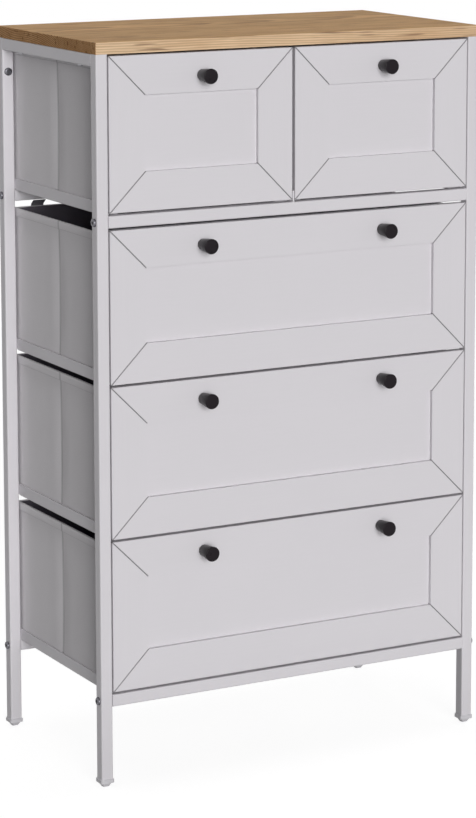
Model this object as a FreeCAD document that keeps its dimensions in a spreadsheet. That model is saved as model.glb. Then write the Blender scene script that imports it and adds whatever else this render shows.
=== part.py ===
import FreeCAD, Part
import math
import os
import re

import Sketcher

# A dresser with five fabric drawers in four rows, in a bolted frame of square steel tube under a wooden
# top. The drawers are fabric boxes with a board in front, and slide on angle runners welded to the posts.
#
# The origin is under the middle of the dresser, on the floor. +Z is up, the fronts face -Y and the
# drawers pull out along -Y. Every piece is drawn about its own origin and put in place by its Placement.
# Formulas are written with the sheet's aliases; all lengths are millimetres.

DIMENSIONS = [
    # the whole
    ("width", 561, "over the left and right posts"),
    ("depth", 300, "over the front and rear posts"),
    ("height", 956, "floor to the top of the wood"),
    ("top_thick", 15, "wooden top"),
    ("top_edge", 1, "radius of the wooden top's edges"),
    # frame
    ("tube", 16, "side of the square tube"),
    ("tube_wall", 1, "wall of the square tube"),
    ("tube_round", 2, "outer corner radius of the square tube"),
    ("rail_low", 105.5, "floor to the underside of the bottom rails"),
    ("plug_thick", 3, "tapped plug in each end of a cross rail"),
    ("runner_high", 16, "upright flange of an angle runner"),
    ("runner_shelf", 20, "flat flange of an angle runner"),
    ("runner_sheet", 2, "sheet of an angle runner"),
    ("runner_ahead", 0.6, "clearance from a closed drawer's board to the runner's front end"),
    ("runner_rear", 2, "rear plane to the runner's rear end"),
    ("seat_rise", 0.5, "runner's seat above the rail beside it"),
    ("centre_shelf", 38, "width of the centre runner"),
    ("centre_fin", 2.4, "thickness of the centre runner's fin"),
    ("centre_fin_high", 14, "centre runner's fin above its seat"),
    ("centre_sheet", 1.5, "flat part of the centre runner"),
    ("centre_short", 1, "centre runner's ends inside the frame's faces"),
    # feet
    ("foot_high", 11, "floor to the end of the posts"),
    ("foot_collar", 19, "side of the collar under the post"),
    ("foot_collar_high", 5.5, "height of the collar"),
    ("foot_slope", 1.3, "bevel round the collar's upper edge"),
    ("foot_neck", 14.5, "side of the foot under the collar"),
    ("foot_toe", 8.5, "side of the foot at the floor"),
    ("foot_play", 0.1, "play of the foot's plug in the tube"),
    ("foot_plug", 14, "length of the foot's plug in the tube"),
    # fronts
    ("front_high", 196.5, "height of a drawer's board"),
    ("front_thick", 12, "thickness of a board"),
    ("front_gap", 3, "gap between boards, and from a board to a rail"),
    ("side_gap", 1.5, "gap from a board to the posts"),
    ("middle_gap", 4, "gap between the two small boards"),
    ("border", 50, "width of the raised border"),
    ("recess", 5.5, "depth of the recessed field"),
    ("front_edge", 0.6, "bevel round a board's face"),
    ("mitre_wide", 1.4, "groove along a mitre"),
    ("mitre_deep", 1, "depth of the groove"),
    ("mitre_slope", 30, "degrees that the groove's sides lean"),
    # fabric boxes
    ("bin_high", 189, "height of a fabric box"),
    ("bin_wall", 3, "wall of a fabric box"),
    ("bin_inset", 1, "box inside its board's edge, each side"),
    ("bin_rear", 1.5, "box's rear inside the rear plane"),
    ("bin_lift", 0.5, "box above the runner's seat"),
    ("bin_round", 4, "radius of the box's upright corners"),
    ("hem_high", 12, "hem round the rim"),
    ("hem_proud", 1, "hem outside a wide box"),
    ("hem_proud_small", 0.8, "the same on the small boxes, which pass the centre runner"),
    ("base_thick", 3, "stiff base in the box"),
    ("base_play", 1, "play round the stiff base"),
    ("tab_wide", 18, "width of a webbing tab"),
    ("tab_thick", 1.5, "thickness of a webbing tab"),
    ("tab_inset", 27.5, "box's side to the webbing tab"),
    ("tab_sewn", 10, "length of the tab sewn to the box below its rim"),
    ("tab_rise", 8.5, "webbing tab's end above the rim"),
    ("tab_lean", 9, "webbing tab's end ahead of the rear face"),
    # knobs
    ("knob_long", 25, "length of a knob"),
    ("knob_base", 14.5, "diameter at the board"),
    ("knob_face", 19.8, "diameter at the free end"),
    ("knob_edge", 0.8, "bevel round the face"),
    ("knob_drop", 26, "board's upper edge down to the knob on the wide drawers"),
    ("knob_drop_small", 29, "the same on the small drawers"),
    # fasteners
    ("bolt", 6, "diameter of the M6 bolts"),
    ("bolt_head", 10.5, "diameter of a bolt's head"),
    ("bolt_head_high", 3, "height of a bolt's head"),
    ("bolt_crown", 1.5, "bevel round a bolt's head"),
    ("bolt_spare", 3, "frame bolt's end past its plug"),
    ("bolt_play", 0.5, "clearance hole over the bolt's diameter"),
    ("fit_play", 0.1, "tapped or pilot hole over the screw's diameter"),
    ("pilot_spare", 1, "pilot hole past the screw's end"),
    ("screw", 4, "diameter of the knob and top screws"),
    ("screw_head", 8, "diameter of their heads"),
    ("screw_bite", 10, "length of a screw in the knob or the top"),
    ("pin", 3.5, "diameter of the small screws in the boards"),
    ("pin_head", 7, "diameter of their heads"),
    ("pin_bite", 8, "length of a small screw in the board"),
    ("head_high", 2.2, "height of a screw's head"),
    ("head_crown", 0.8, "bevel round a screw's head"),
    ("top_screws_apart", 180, "front to rear between the top screws"),
    # wall tabs
    ("wall_up", 896, "floor to the wall tabs"),
    ("wall_tab_end", 4, "wall tab's end past its bolt"),
    ("wall_tab_long", 40, "length of a wall tab"),
    ("wall_tab_high", 16, "height of a wall tab"),
    ("wall_tab_thick", 2, "thickness of a wall tab"),
    ("wall_tab_round", 3, "corner radius of a wall tab"),
    ("strap_hole", 6, "diameter of the strap's hole"),
    ("strap_apart", 28, "bolt to the strap's hole"),
    ("nut_wide", 10, "across the flats of the nut"),
    ("nut_high", 5, "height of the nut"),
    ("rear_reach", 8, "rear plane to the end of the wall tab's bolt"),
]

# heights of the boards' lower edges, from the floor up
LOWER = "rail_low + tube + front_gap"
MIDDLE = f"{LOWER} + front_high + front_gap"
UPPER = f"{MIDDLE} + front_high + front_gap"
RAIL_MID = f"{UPPER} + front_high + front_gap"
TOP = f"{RAIL_MID} + tube + front_gap"

# heights of the seats that the fabric boxes slide on
SEATS = {
    "top": f"{RAIL_MID} + tube + seat_rise",
    "upper": UPPER,
    "middle": MIDDLE,
    "lower": "rail_low + tube + seat_rise",
}

# depths of the frame's planes: the knobs' faces and the wall tabs' bolts are equally far from the origin
FRONT = "(knob_long - depth - rear_reach) / 2"
CENTRE = f"{FRONT} + depth / 2"
REAR = f"{FRONT} + depth"

BETWEEN_POSTS = "width - 2 * tube"
ACROSS = "(width - tube) / 2"
ALONG = "(depth - tube) / 2"
BOLT_LEVELS = ("rail_low + tube / 2", f"{RAIL_MID} + tube / 2")

WIDE_BOARD = "width - 2 * tube - 2 * side_gap"
SMALL_BOARD = f"({WIDE_BOARD} - middle_gap) / 2"
KNOB_ACROSS = f"({SMALL_BOARD} + middle_gap) / 2"

SIDES = {"left": -1, "right": 1}
ENDS = {"front": -1, "rear": 1}

FULL_TURN = 360
HEXAGON = 6
SMALLEST_CUT = 0.5
NEAR = 0.01

document = FreeCAD.newDocument("FabricDrawerDresser")
sheet = document.addObject("Spreadsheet::Sheet", "Dims")
pieces = []


def fill_sheet():
    """Write each driving dimension as a row of alias, plain number and meaning."""
    for row, (alias, value, meaning) in enumerate(DIMENSIONS, start=1):
        sheet.set(f"A{row}", alias)
        sheet.set(f"B{row}", str(value))
        sheet.set(f"C{row}", meaning)
        sheet.setAlias(f"B{row}", alias)
    document.recompute()


def formula(text):
    """Put the sheet's name before every alias, as in Dims.width / 2, but not before sqrt(."""
    return re.sub(r"[a-z][a-z_]+\b(?!\()", r"Dims.\g<0>", text)


def size(text):
    """Work a formula out with the sheet's present values."""
    return float(sheet.evalExpression(formula(text)))


# ---------------------------------------------------------------------------------------------------
# bodies, sketches and features


def new_body(label, x="0", y="0", z="0"):
    """Start a piece whose own origin lies at x, y, z."""
    body = document.addObject("PartDesign::Body", label)
    body.Label = label
    for axis, text in zip("xyz", (x, y, z)):
        body.setExpression(f"Placement.Base.{axis}", formula(text))
    pieces.append(body)
    return body


def datum(body, role):
    """Find one of the body's own origin planes or axes."""
    return next(item for item in body.Origin.OriginFeatures if item.Role == role)


def new_sketch(body, plane, right="0", up="0", lift="0"):
    """Lay a sketch on an origin plane, moved in the plane by right and up and along its normal by lift.

    The normals are +Z for the XY plane, -Y for the XZ plane and +X for the YZ plane.
    """
    sketch = body.newObject("Sketcher::SketchObject", f"{body.Label}_sketch")
    sketch.AttachmentSupport = [(datum(body, plane), "")]
    sketch.MapMode = "FlatFace"
    for axis, text in zip("xyz", (right, up, lift)):
        sketch.setExpression(f"AttachmentOffset.Base.{axis}", formula(text))
    return sketch


def hold(sketch, kind, geometry, text, point=None):
    """Add one constraint, from the sketch's origin where it is a distance, and bind it to a formula."""
    if point is None:
        constraint = Sketcher.Constraint(kind, geometry, size(text))
    else:
        constraint = Sketcher.Constraint(kind, -1, 1, geometry, point, size(text))
    number = sketch.addConstraint(constraint)
    name = f"{kind}_{number}"
    sketch.renameConstraint(number, name)
    sketch.setExpression(f"Constraints.{name}", formula(text))


def outline(sketch, corners):
    """Draw a closed outline of straight lines, each corner held at its formulas."""
    first = sketch.GeometryCount
    points = [FreeCAD.Vector(size(x), size(y), 0) for x, y in corners]
    following = points[1:] + points[:1]
    sketch.addGeometry([Part.LineSegment(start, end) for start, end in zip(points, following)], False)
    for index, (x, y) in enumerate(corners):
        after = (index + 1) % len(corners)
        sketch.addConstraint(Sketcher.Constraint("Coincident", first + index, 2, first + after, 1))
        hold(sketch, "DistanceX", first + index, x, point=1)
        hold(sketch, "DistanceY", first + index, y, point=1)


def rectangle(sketch, left, right, low, high):
    """Draw a rectangle between four formulas."""
    outline(sketch, [(left, low), (right, low), (right, high), (left, high)])


def circle(sketch, x, y, diameter):
    """Draw a circle of a diameter about a point."""
    index = sketch.addGeometry(
        Part.Circle(FreeCAD.Vector(size(x), size(y), 0), FreeCAD.Vector(0, 0, 1), size(diameter) / 2)
    )
    hold(sketch, "DistanceX", index, x, point=3)
    hold(sketch, "DistanceY", index, y, point=3)
    hold(sketch, "Diameter", index, diameter)


def rounded_rectangle(sketch, left, right, low, high, radius):
    """Draw a rectangle with round corners: four lines and four arcs, tangent all round."""
    first = sketch.GeometryCount
    turn = size(radius)
    x_low, x_high = size(left) + turn, size(right) - turn
    y_low, y_high = size(low) + turn, size(high) - turn
    centres = [(x_high, y_low), (x_high, y_high), (x_low, y_high), (x_low, y_low)]
    arcs = []
    for quarter, (x, y) in enumerate(centres):
        round_corner = Part.Circle(FreeCAD.Vector(x, y, 0), FreeCAD.Vector(0, 0, 1), turn)
        start = (quarter - 1) * math.pi / 2
        arcs.append(Part.ArcOfCircle(round_corner, start, start + math.pi / 2))
    before = arcs[-1:] + arcs[:-1]
    for earlier, arc in zip(before, arcs):
        sketch.addGeometry([Part.LineSegment(earlier.EndPoint, arc.StartPoint), arc], False)
    lines = [first + 2 * quarter for quarter in range(len(centres))]
    for line, following in zip(lines, lines[1:] + lines[:1]):
        arc = line + 1
        sketch.addConstraint(Sketcher.Constraint("Tangent", line, 2, arc, 1))
        sketch.addConstraint(Sketcher.Constraint("Tangent", arc, 2, following, 1))
        if line != first:
            sketch.addConstraint(Sketcher.Constraint("Equal", first + 1, arc))
    for line, kind in zip(lines, ("Horizontal", "Vertical", "Horizontal", "Vertical")):
        sketch.addConstraint(Sketcher.Constraint(kind, line))
    bottom, right_side, top, left_side = lines
    hold(sketch, "Radius", first + 1, radius)
    hold(sketch, "DistanceY", bottom, low, point=1)
    hold(sketch, "DistanceX", right_side, right, point=1)
    hold(sketch, "DistanceY", top, high, point=1)
    hold(sketch, "DistanceX", left_side, left, point=1)


def rounded_square(sketch, side, radius):
    """Draw a square with round corners about the sketch's origin."""
    half = f"({side}) / 2"
    rounded_rectangle(sketch, f"-{half}", half, f"-{half}", half, radius)


def finish(body, feature):
    """Make a feature the body's last one and work it out."""
    body.Tip = feature
    document.recompute()
    return feature


def pad(body, sketch, length, backwards=False, both_ways=False):
    """Raise a sketch by a length along its normal, against it, or half each way."""
    feature = body.newObject("PartDesign::Pad", f"{body.Label}_pad")
    feature.Profile = (sketch, [""])
    feature.setExpression("Length", formula(length))
    feature.Reversed = backwards
    feature.SideType = "Symmetric" if both_ways else "One side"
    return finish(body, feature)


def pocket(body, sketch, length, forwards=False, both_ways=False, slope=None):
    """Cut a sketch into the body against its normal, along it, or half each way."""
    before = body.Shape.Volume
    feature = body.newObject("PartDesign::Pocket", f"{body.Label}_pocket")
    feature.Profile = (sketch, [""])
    feature.setExpression("Length", formula(length))
    feature.Reversed = forwards
    feature.SideType = "Symmetric" if both_ways else "One side"
    if slope:
        feature.setExpression("TaperAngle", formula(slope))
    finish(body, feature)
    if body.Shape.Volume > before - SMALLEST_CUT:
        raise ValueError(f"a pocket of {body.Label} cuts nothing")
    return feature


def revolve(body, sketch, axis="V_Axis"):
    """Turn a half outline all the way round one of its sketch's axes."""
    feature = body.newObject("PartDesign::Revolution", f"{body.Label}_revolution")
    feature.Profile = (sketch, [""])
    feature.ReferenceAxis = (sketch, [axis])
    feature.Angle = FULL_TURN
    return finish(body, feature)


def loft(body, lower, upper):
    """Join two outlines with straight sides."""
    feature = body.newObject("PartDesign::AdditiveLoft", f"{body.Label}_loft")
    feature.Profile = (lower, [""])
    feature.Sections = [(upper, [""])]
    feature.Ruled = True
    return finish(body, feature)


def ease(body, kind, amount, chosen):
    """Fillet or chamfer the edges that chosen picks from the body's last shape."""
    base = body.Tip
    names = [f"Edge{number}" for number, edge in enumerate(base.Shape.Edges, start=1) if chosen(edge)]
    if not names:
        raise ValueError(f"no edge of {body.Label} to ease")
    feature = body.newObject(f"PartDesign::{kind}", f"{body.Label}_{kind.lower()}")
    feature.Base = (base, names)
    feature.setExpression("Radius" if kind == "Fillet" else "Size", formula(amount))
    return finish(body, feature)


def lying(**places):
    """Pick the edges that lie wholly at the given x, y or z."""
    wanted = [(axis.upper(), size(text)) for axis, text in places.items()]

    def chosen(edge):
        return all(
            abs(getattr(edge.BoundBox, f"{axis}{limit}") - place) < NEAR
            for axis, place in wanted
            for limit in ("Min", "Max")
        )

    return chosen


def repeat(body, mirrors=(), steps=()):
    """Copy the whole piece by mirror planes and by steps of (axis, distance), as separate solids."""
    feature = body.newObject("PartDesign::MultiTransform", f"{body.Label}_pattern")
    feature.TransformMode = "Whole shape"
    moves = []
    for role in mirrors:
        move = document.addObject("PartDesign::Mirrored", f"{body.Label}_mirrored")
        move.MirrorPlane = (datum(body, role), [""])
        moves.append(move)
    for role, distance in steps:
        move = document.addObject("PartDesign::LinearPattern", f"{body.Label}_row")
        move.Direction = (datum(body, role), [""])
        move.setExpression("Length", formula(distance))
        move.Occurrences = 2
        moves.append(move)
    for move in moves:
        body.addObject(move)
    feature.Transformations = moves
    return finish(body, feature)


# ---------------------------------------------------------------------------------------------------
# shapes that several pieces share


def corners(across, along):
    """Give the four places that lie across and along from the middle, to both sides."""
    return [
        (f"{side} * ({across})", f"{end} * ({along})") for side in SIDES.values() for end in ENDS.values()
    ]


def square_tube(body, plane, length, lift="0", both_ways=True):
    """Raise the hollow section of the frame's tube from a plane through the body's origin."""
    sketch = new_sketch(body, plane, lift=lift)
    rounded_square(sketch, "tube", "tube_round")
    rounded_square(sketch, "tube - 2 * tube_wall", "tube_round - tube_wall")
    pad(body, sketch, length, both_ways=both_ways)


def holes(body, plane, places, diameter, depth, lift="0", **direction):
    """Drill holes of one diameter at places on a plane."""
    sketch = new_sketch(body, plane, lift=lift)
    for x, y in places:
        circle(sketch, x, y, diameter)
    pocket(body, sketch, depth, **direction)


def headed_pin(body, plane, kind, length, towards=1, axis="V_Axis", **offsets):
    """Turn a bolt or screw: its head at the sketch's origin, its shank towards +1 or -1."""
    diameter, head, head_high, crown = kind
    radius, brim = f"{diameter} / 2", f"{head} / 2"
    half = [
        ("0", f"-{towards} * {head_high}"),
        (f"{brim} - {crown}", f"-{towards} * {head_high}"),
        (brim, f"-{towards} * ({head_high} - {crown})"),
        (brim, "0"),
        (radius, "0"),
        (radius, f"{towards} * ({length})"),
        ("0", f"{towards} * ({length})"),
    ]
    if axis == "H_Axis":
        half = [(along, out) for out, along in half]
    sketch = new_sketch(body, plane, **offsets)
    outline(sketch, half)
    revolve(body, sketch, axis)


# kinds of fastener: diameter, head's diameter, head's height, bevel of the head
BOLT = ("bolt", "bolt_head", "bolt_head_high", "bolt_crown")
SCREW = ("screw", "screw_head", "head_high", "head_crown")
PIN = ("pin", "pin_head", "head_high", "head_crown")


# ---------------------------------------------------------------------------------------------------
# frame


def top_panel():
    """Wooden top, with blind holes for the screws that come up through the top rails."""
    body = new_body("top_panel", y=CENTRE, z="height - top_thick")
    sketch = new_sketch(body, "XY_Plane")
    rectangle(sketch, "-width / 2", "width / 2", "-depth / 2", "depth / 2")
    pad(body, sketch, "top_thick")
    underside = lying(z="0")
    ease(body, "Fillet", "top_edge", lambda edge: not underside(edge))
    places = corners(ACROSS, "top_screws_apart / 2")
    holes(body, "XY_Plane", places, "screw + fit_play", "screw_bite + pilot_spare", forwards=True)


def post(end, side):
    """Upright tube, drilled for the frame bolts and, at the rear, for the wall tab's bolt."""
    body = new_body(
        f"post_{end}_{side}", x=f"{SIDES[side]} * {ACROSS}", y=f"{CENTRE} + {ENDS[end]} * {ALONG}"
    )
    square_tube(body, "XY_Plane", "height - top_thick - foot_high", lift="foot_high", both_ways=False)
    places = [("0", level) for level in BOLT_LEVELS]
    holes(body, "YZ_Plane", places, "bolt + bolt_play", "2 * tube", both_ways=True)
    if end == "rear":
        holes(body, "XZ_Plane", [("0", "wall_up")], "bolt + bolt_play", "2 * tube", both_ways=True)


def top_rail(side):
    """Tube between a front and a rear post, under the wooden top."""
    body = new_body(
        f"top_rail_{side}", x=f"{SIDES[side]} * {ACROSS}", y=CENTRE, z="height - top_thick - tube / 2"
    )
    square_tube(body, "XZ_Plane", "depth - 2 * tube")
    places = [("0", f"{end} * top_screws_apart / 2") for end in ENDS.values()]
    holes(body, "XY_Plane", places, "screw + bolt_play", "2 * tube", both_ways=True)


def cross_rail(end, level, low):
    """Tube between a left and a right post, with a tapped plug in each end."""
    body = new_body(f"{end}_{level}_rail", y=f"{CENTRE} + {ENDS[end]} * {ALONG}", z=f"{low} + tube / 2")
    square_tube(body, "YZ_Plane", BETWEEN_POSTS)
    for side in SIDES.values():
        sketch = new_sketch(body, "YZ_Plane", lift=f"{side} * ({BETWEEN_POSTS}) / 2")
        rounded_square(sketch, "tube - 2 * tube_wall", "tube_round - tube_wall")
        pad(body, sketch, "plug_thick", backwards=side > 0)
    holes(body, "YZ_Plane", [("0", "0")], "bolt + fit_play", "width", both_ways=True)


def runner(row, side):
    """Angle that one side of a drawer slides on, cut back to its upright flange at the posts."""
    body = new_body(
        f"runner_{row}_{side}", x=f"{SIDES[side]} * ({BETWEEN_POSTS}) / 2", y=CENTRE, z=SEATS[row]
    )
    inward = -SIDES[side]
    flange, shelf = f"{inward} * runner_sheet", f"{inward} * runner_shelf"
    upright = "runner_high - runner_sheet"
    sketch = new_sketch(body, "XZ_Plane")
    outline(
        sketch,
        [
            ("0", "-runner_sheet"),
            (shelf, "-runner_sheet"),
            (shelf, "0"),
            (flange, "0"),
            (flange, upright),
            ("0", upright),
        ],
    )
    pad(body, sketch, "depth - 2 * tube", both_ways=True)
    ease(body, "Fillet", "runner_sheet", lying(x="0", z="-runner_sheet"))
    sketch = new_sketch(body, "XZ_Plane", lift="depth / 2 - front_thick - runner_ahead")
    rectangle(sketch, "0", flange, "0", upright)
    pad(body, sketch, "depth - front_thick - runner_ahead - runner_rear", backwards=True)


def centre_runner():
    """Inverted T between the small drawers, its fin resting on the two middle rails."""
    body = new_body("centre_runner", y=CENTRE, z=SEATS["top"])
    sketch = new_sketch(body, "XZ_Plane")
    rectangle(sketch, "-centre_shelf / 2", "centre_shelf / 2", "-centre_sheet", "0")
    pad(body, sketch, "depth - 2 * tube", both_ways=True)
    sketch = new_sketch(body, "XZ_Plane")
    rectangle(sketch, "-centre_fin / 2", "centre_fin / 2", "-seat_rise", "centre_fin_high")
    pad(body, sketch, "depth - 2 * centre_short", both_ways=True)


def feet():
    """Moulded feet: a bevelled collar under the post, a toe that narrows to the floor, and a plug."""
    body = new_body("feet", y=CENTRE)
    corner = {"right": f"-{ACROSS}", "up": f"-{ALONG}"}
    under_collar = "foot_high - foot_collar_high"
    sketch = new_sketch(body, "XY_Plane", lift=under_collar, **corner)
    rounded_square(sketch, "foot_collar", "tube_round + foot_slope")
    pad(body, sketch, "foot_collar_high")
    ease(body, "Chamfer", "foot_slope", lying(z="foot_high"))
    toe = new_sketch(body, "XY_Plane", **corner)
    rounded_square(toe, "foot_toe", "tube_round")
    neck = new_sketch(body, "XY_Plane", lift=under_collar, **corner)
    rounded_square(neck, "foot_neck", "tube_round")
    loft(body, toe, neck)
    sketch = new_sketch(body, "XY_Plane", lift="foot_high", **corner)
    rounded_square(sketch, "tube - 2 * tube_wall - 2 * foot_play", "tube_round - tube_wall")
    pad(body, sketch, "foot_plug")
    repeat(body, mirrors=("YZ_Plane", "XZ_Plane"))


def frame_bolts():
    """Bolts through the posts into the cross rails' plugs, two levels at each corner."""
    body = new_body("frame_bolts", y=CENTRE)
    low, high = BOLT_LEVELS
    place = {"right": "-width / 2", "up": f"-{ALONG}", "lift": low}
    headed_pin(body, "XY_Plane", BOLT, "tube + plug_thick + bolt_spare", axis="H_Axis", **place)
    repeat(body, mirrors=("YZ_Plane", "XZ_Plane"), steps=[("Z_Axis", f"{high} - ({low})")])


def top_screws():
    """Screws up through the top rails into the wooden top."""
    body = new_body("top_screws", y=CENTRE, z="height - top_thick - tube")
    place = {"right": f"-{ACROSS}", "lift": "top_screws_apart / 2"}
    headed_pin(body, "XZ_Plane", SCREW, "tube + screw_bite", **place)
    repeat(body, mirrors=("YZ_Plane", "XZ_Plane"))


def wall_tabs():
    """Plates behind the rear posts, each with a hole for a strap to the wall."""
    body = new_body("wall_tabs", y=REAR, z="wall_up")
    sketch = new_sketch(body, "XZ_Plane", right=f"-{ACROSS}")
    far, half_high = "wall_tab_long - wall_tab_end", "wall_tab_high / 2"
    rounded_rectangle(sketch, "-wall_tab_end", far, f"-{half_high}", half_high, "wall_tab_round")
    circle(sketch, "0", "0", "bolt + bolt_play")
    circle(sketch, "strap_apart", "0", "strap_hole")
    pad(body, sketch, "wall_tab_thick", backwards=True)
    repeat(body, mirrors=("YZ_Plane",))


def wall_tab_bolts():
    """Bolts back through the rear posts and the wall tabs."""
    body = new_body("wall_tab_bolts", y=REAR, z="wall_up")
    headed_pin(body, "XY_Plane", BOLT, "tube + rear_reach", right=f"-{ACROSS}", up="-tube")
    repeat(body, mirrors=("YZ_Plane",))


def wall_tab_nuts():
    """Hexagon nuts behind the wall tabs."""
    body = new_body("wall_tab_nuts", y=REAR, z="wall_up")
    sketch = new_sketch(body, "XZ_Plane", right=f"-{ACROSS}", lift="-wall_tab_thick")
    angles = [math.radians(FULL_TURN * corner / HEXAGON) for corner in range(HEXAGON)]
    reach = "nut_wide / sqrt(3)"
    outline(sketch, [(f"{reach} * {math.cos(a):.6f}", f"{reach} * {math.sin(a):.6f}") for a in angles])
    circle(sketch, "0", "0", "bolt + fit_play")
    pad(body, sketch, "nut_high", backwards=True)
    repeat(body, mirrors=("YZ_Plane",))


# ---------------------------------------------------------------------------------------------------
# drawers


class Drawer:
    """One drawer's name, row, board and knobs, and the places that its pieces share."""

    def __init__(self, name, row, bottom, board, across, knobs, knob_drop):
        self.name = name
        self.row = row
        self.half_board = f"({board}) / 2"
        self.half_bin = f"({board}) / 2 - bin_inset"
        self.across = across
        self.middle = f"{bottom} + front_high / 2"
        self.knobs = knobs
        self.knob_up = f"front_high / 2 - {knob_drop}"
        self.bin_low = f"{SEATS[row]} + bin_lift"
        self.hem_proud = "hem_proud_small" if row == "top" else "hem_proud"

    def pin_places(self):
        """Places of the board's small screws, in the middle of its border, about the board's middle."""
        return corners(f"{self.half_board} - border / 2", "front_high / 2 - border / 2")

    def knob_places(self):
        """Places of the knobs, about the board's middle."""
        return [(across, self.knob_up) for across in self.knobs.values()]


BIN_DEEP = "depth - front_thick - bin_rear"
WIDE_KNOBS = {"knob_left": f"-{KNOB_ACROSS}", "knob_right": KNOB_ACROSS}
SMALL_KNOBS = {"knob": "0"}

DRAWERS = [
    Drawer("top_left", "top", TOP, SMALL_BOARD, f"-{KNOB_ACROSS}", SMALL_KNOBS, "knob_drop_small"),
    Drawer("top_right", "top", TOP, SMALL_BOARD, KNOB_ACROSS, SMALL_KNOBS, "knob_drop_small"),
    Drawer("upper", "upper", UPPER, WIDE_BOARD, "0", WIDE_KNOBS, "knob_drop"),
    Drawer("middle", "middle", MIDDLE, WIDE_BOARD, "0", WIDE_KNOBS, "knob_drop"),
    Drawer("lower", "lower", LOWER, WIDE_BOARD, "0", WIDE_KNOBS, "knob_drop"),
]


def mitre_groove(sketch, half_board, side, end):
    """Draw one mitre's groove, from past the board's corner to past the corner of the recessed field."""
    start, stop = "-mitre_wide", "border + mitre_wide"
    groove = []
    for along, lean in ((start, 1), (stop, 1), (stop, -1), (start, -1)):
        shift = f"{lean} * mitre_wide / sqrt(8)"
        across, up = f"{half_board} - ({along}) + {shift}", f"front_high / 2 - ({along}) - {shift}"
        groove.append((f"{side} * ({across})", f"{end} * ({up})"))
    outline(sketch, groove)


def front_panel(drawer):
    """Board with a raised border, mitred at its corners, round a recessed field."""
    body = new_body(f"{drawer.name}_front_panel", x=drawer.across, y=FRONT, z=drawer.middle)
    half_wide, half_high = drawer.half_board, "front_high / 2"
    sketch = new_sketch(body, "XZ_Plane")
    rectangle(sketch, f"-{half_wide}", half_wide, f"-{half_high}", half_high)
    pad(body, sketch, "front_thick", backwards=True)
    ease(body, "Chamfer", "front_edge", lying(y="0"))
    sketch = new_sketch(body, "XZ_Plane")
    field_wide, field_high = f"{half_wide} - border", f"{half_high} - border"
    rectangle(sketch, f"-({field_wide})", field_wide, f"-({field_high})", field_high)
    pocket(body, sketch, "recess")
    sketch = new_sketch(body, "XZ_Plane")
    for side in SIDES.values():
        for end in ENDS.values():
            mitre_groove(sketch, half_wide, side, end)
    pocket(body, sketch, "mitre_deep", slope="-mitre_slope")
    holes(body, "XZ_Plane", drawer.knob_places(), "screw + bolt_play", "2 * front_thick")
    pilot = {"lift": "-front_thick", "forwards": True}
    holes(body, "XZ_Plane", drawer.pin_places(), "pin + fit_play", "pin_bite + pilot_spare", **pilot)


def fabric_bin(drawer):
    """Open fabric box with a hem round its rim, its front wall drilled for the screws."""
    body = new_body(
        f"{drawer.name}_fabric_bin", x=drawer.across, y=f"{FRONT} + front_thick", z=drawer.bin_low
    )
    half = drawer.half_bin
    sketch = new_sketch(body, "XY_Plane")
    rounded_rectangle(sketch, f"-({half})", half, "0", BIN_DEEP, "bin_round")
    pad(body, sketch, "bin_high")
    sketch = new_sketch(body, "XY_Plane", lift="bin_high - hem_high")
    hem, hem_rear = f"{half} + {drawer.hem_proud}", f"{BIN_DEEP} + {drawer.hem_proud}"
    rounded_rectangle(sketch, f"-({hem})", hem, "bin_round", hem_rear, f"bin_round + {drawer.hem_proud}")
    pad(body, sketch, "hem_high")
    sketch = new_sketch(body, "XY_Plane", lift="bin_high")
    inside = f"{half} - bin_wall"
    rectangle(sketch, f"-({inside})", inside, "bin_wall", f"{BIN_DEEP} - bin_wall")
    pocket(body, sketch, "bin_high - bin_wall")
    rise = f"({drawer.middle}) - ({drawer.bin_low})"
    for places, diameter in ((drawer.knob_places(), "screw"), (drawer.pin_places(), "pin")):
        raised = [(x, f"{z} + {rise}") for x, z in places]
        holes(body, "XZ_Plane", raised, f"{diameter} + bolt_play", "2 * bin_wall")


def base_board(drawer):
    """Stiff base that lies in the fabric box."""
    body = new_body(
        f"{drawer.name}_base_board",
        x=drawer.across,
        y=f"{FRONT} + front_thick",
        z=f"{drawer.bin_low} + bin_wall",
    )
    sketch = new_sketch(body, "XY_Plane")
    margin = "(bin_wall + base_play)"
    half = f"{drawer.half_bin} - {margin}"
    rectangle(sketch, f"-({half})", half, margin, f"{BIN_DEEP} - {margin}")
    pad(body, sketch, "base_thick")


def knob(drawer, name, across):
    """Straight-sided knob that widens away from the board, with a blind hole for its screw."""
    body = new_body(
        f"{drawer.name}_{name}",
        x=f"{drawer.across} + {across}",
        y=FRONT,
        z=f"{drawer.middle} + {drawer.knob_up}",
    )
    bore, hole_end = "(screw + fit_play) / 2", "-screw_bite - pilot_spare"
    sketch = new_sketch(body, "XY_Plane")
    outline(
        sketch,
        [
            (bore, "0"),
            ("knob_base / 2", "0"),
            ("knob_face / 2", "-knob_long"),
            ("0", "-knob_long"),
            ("0", hole_end),
            (bore, hole_end),
        ],
    )
    revolve(body, sketch)
    ease(body, "Chamfer", "knob_edge", lying(y="-knob_long"))


def knob_screws(drawer):
    """Screws from inside the box through its wall and the board into the knobs."""
    label = "knob_screw" if len(drawer.knobs) == 1 else "knob_screws"
    body = new_body(
        f"{drawer.name}_{label}",
        x=drawer.across,
        y=f"{FRONT} + front_thick + bin_wall",
        z=f"{drawer.middle} + {drawer.knob_up}",
    )
    first = next(iter(drawer.knobs.values()))
    headed_pin(body, "XY_Plane", SCREW, "bin_wall + front_thick + screw_bite", towards=-1, right=first)
    if len(drawer.knobs) > 1:
        repeat(body, mirrors=("YZ_Plane",))


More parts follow.
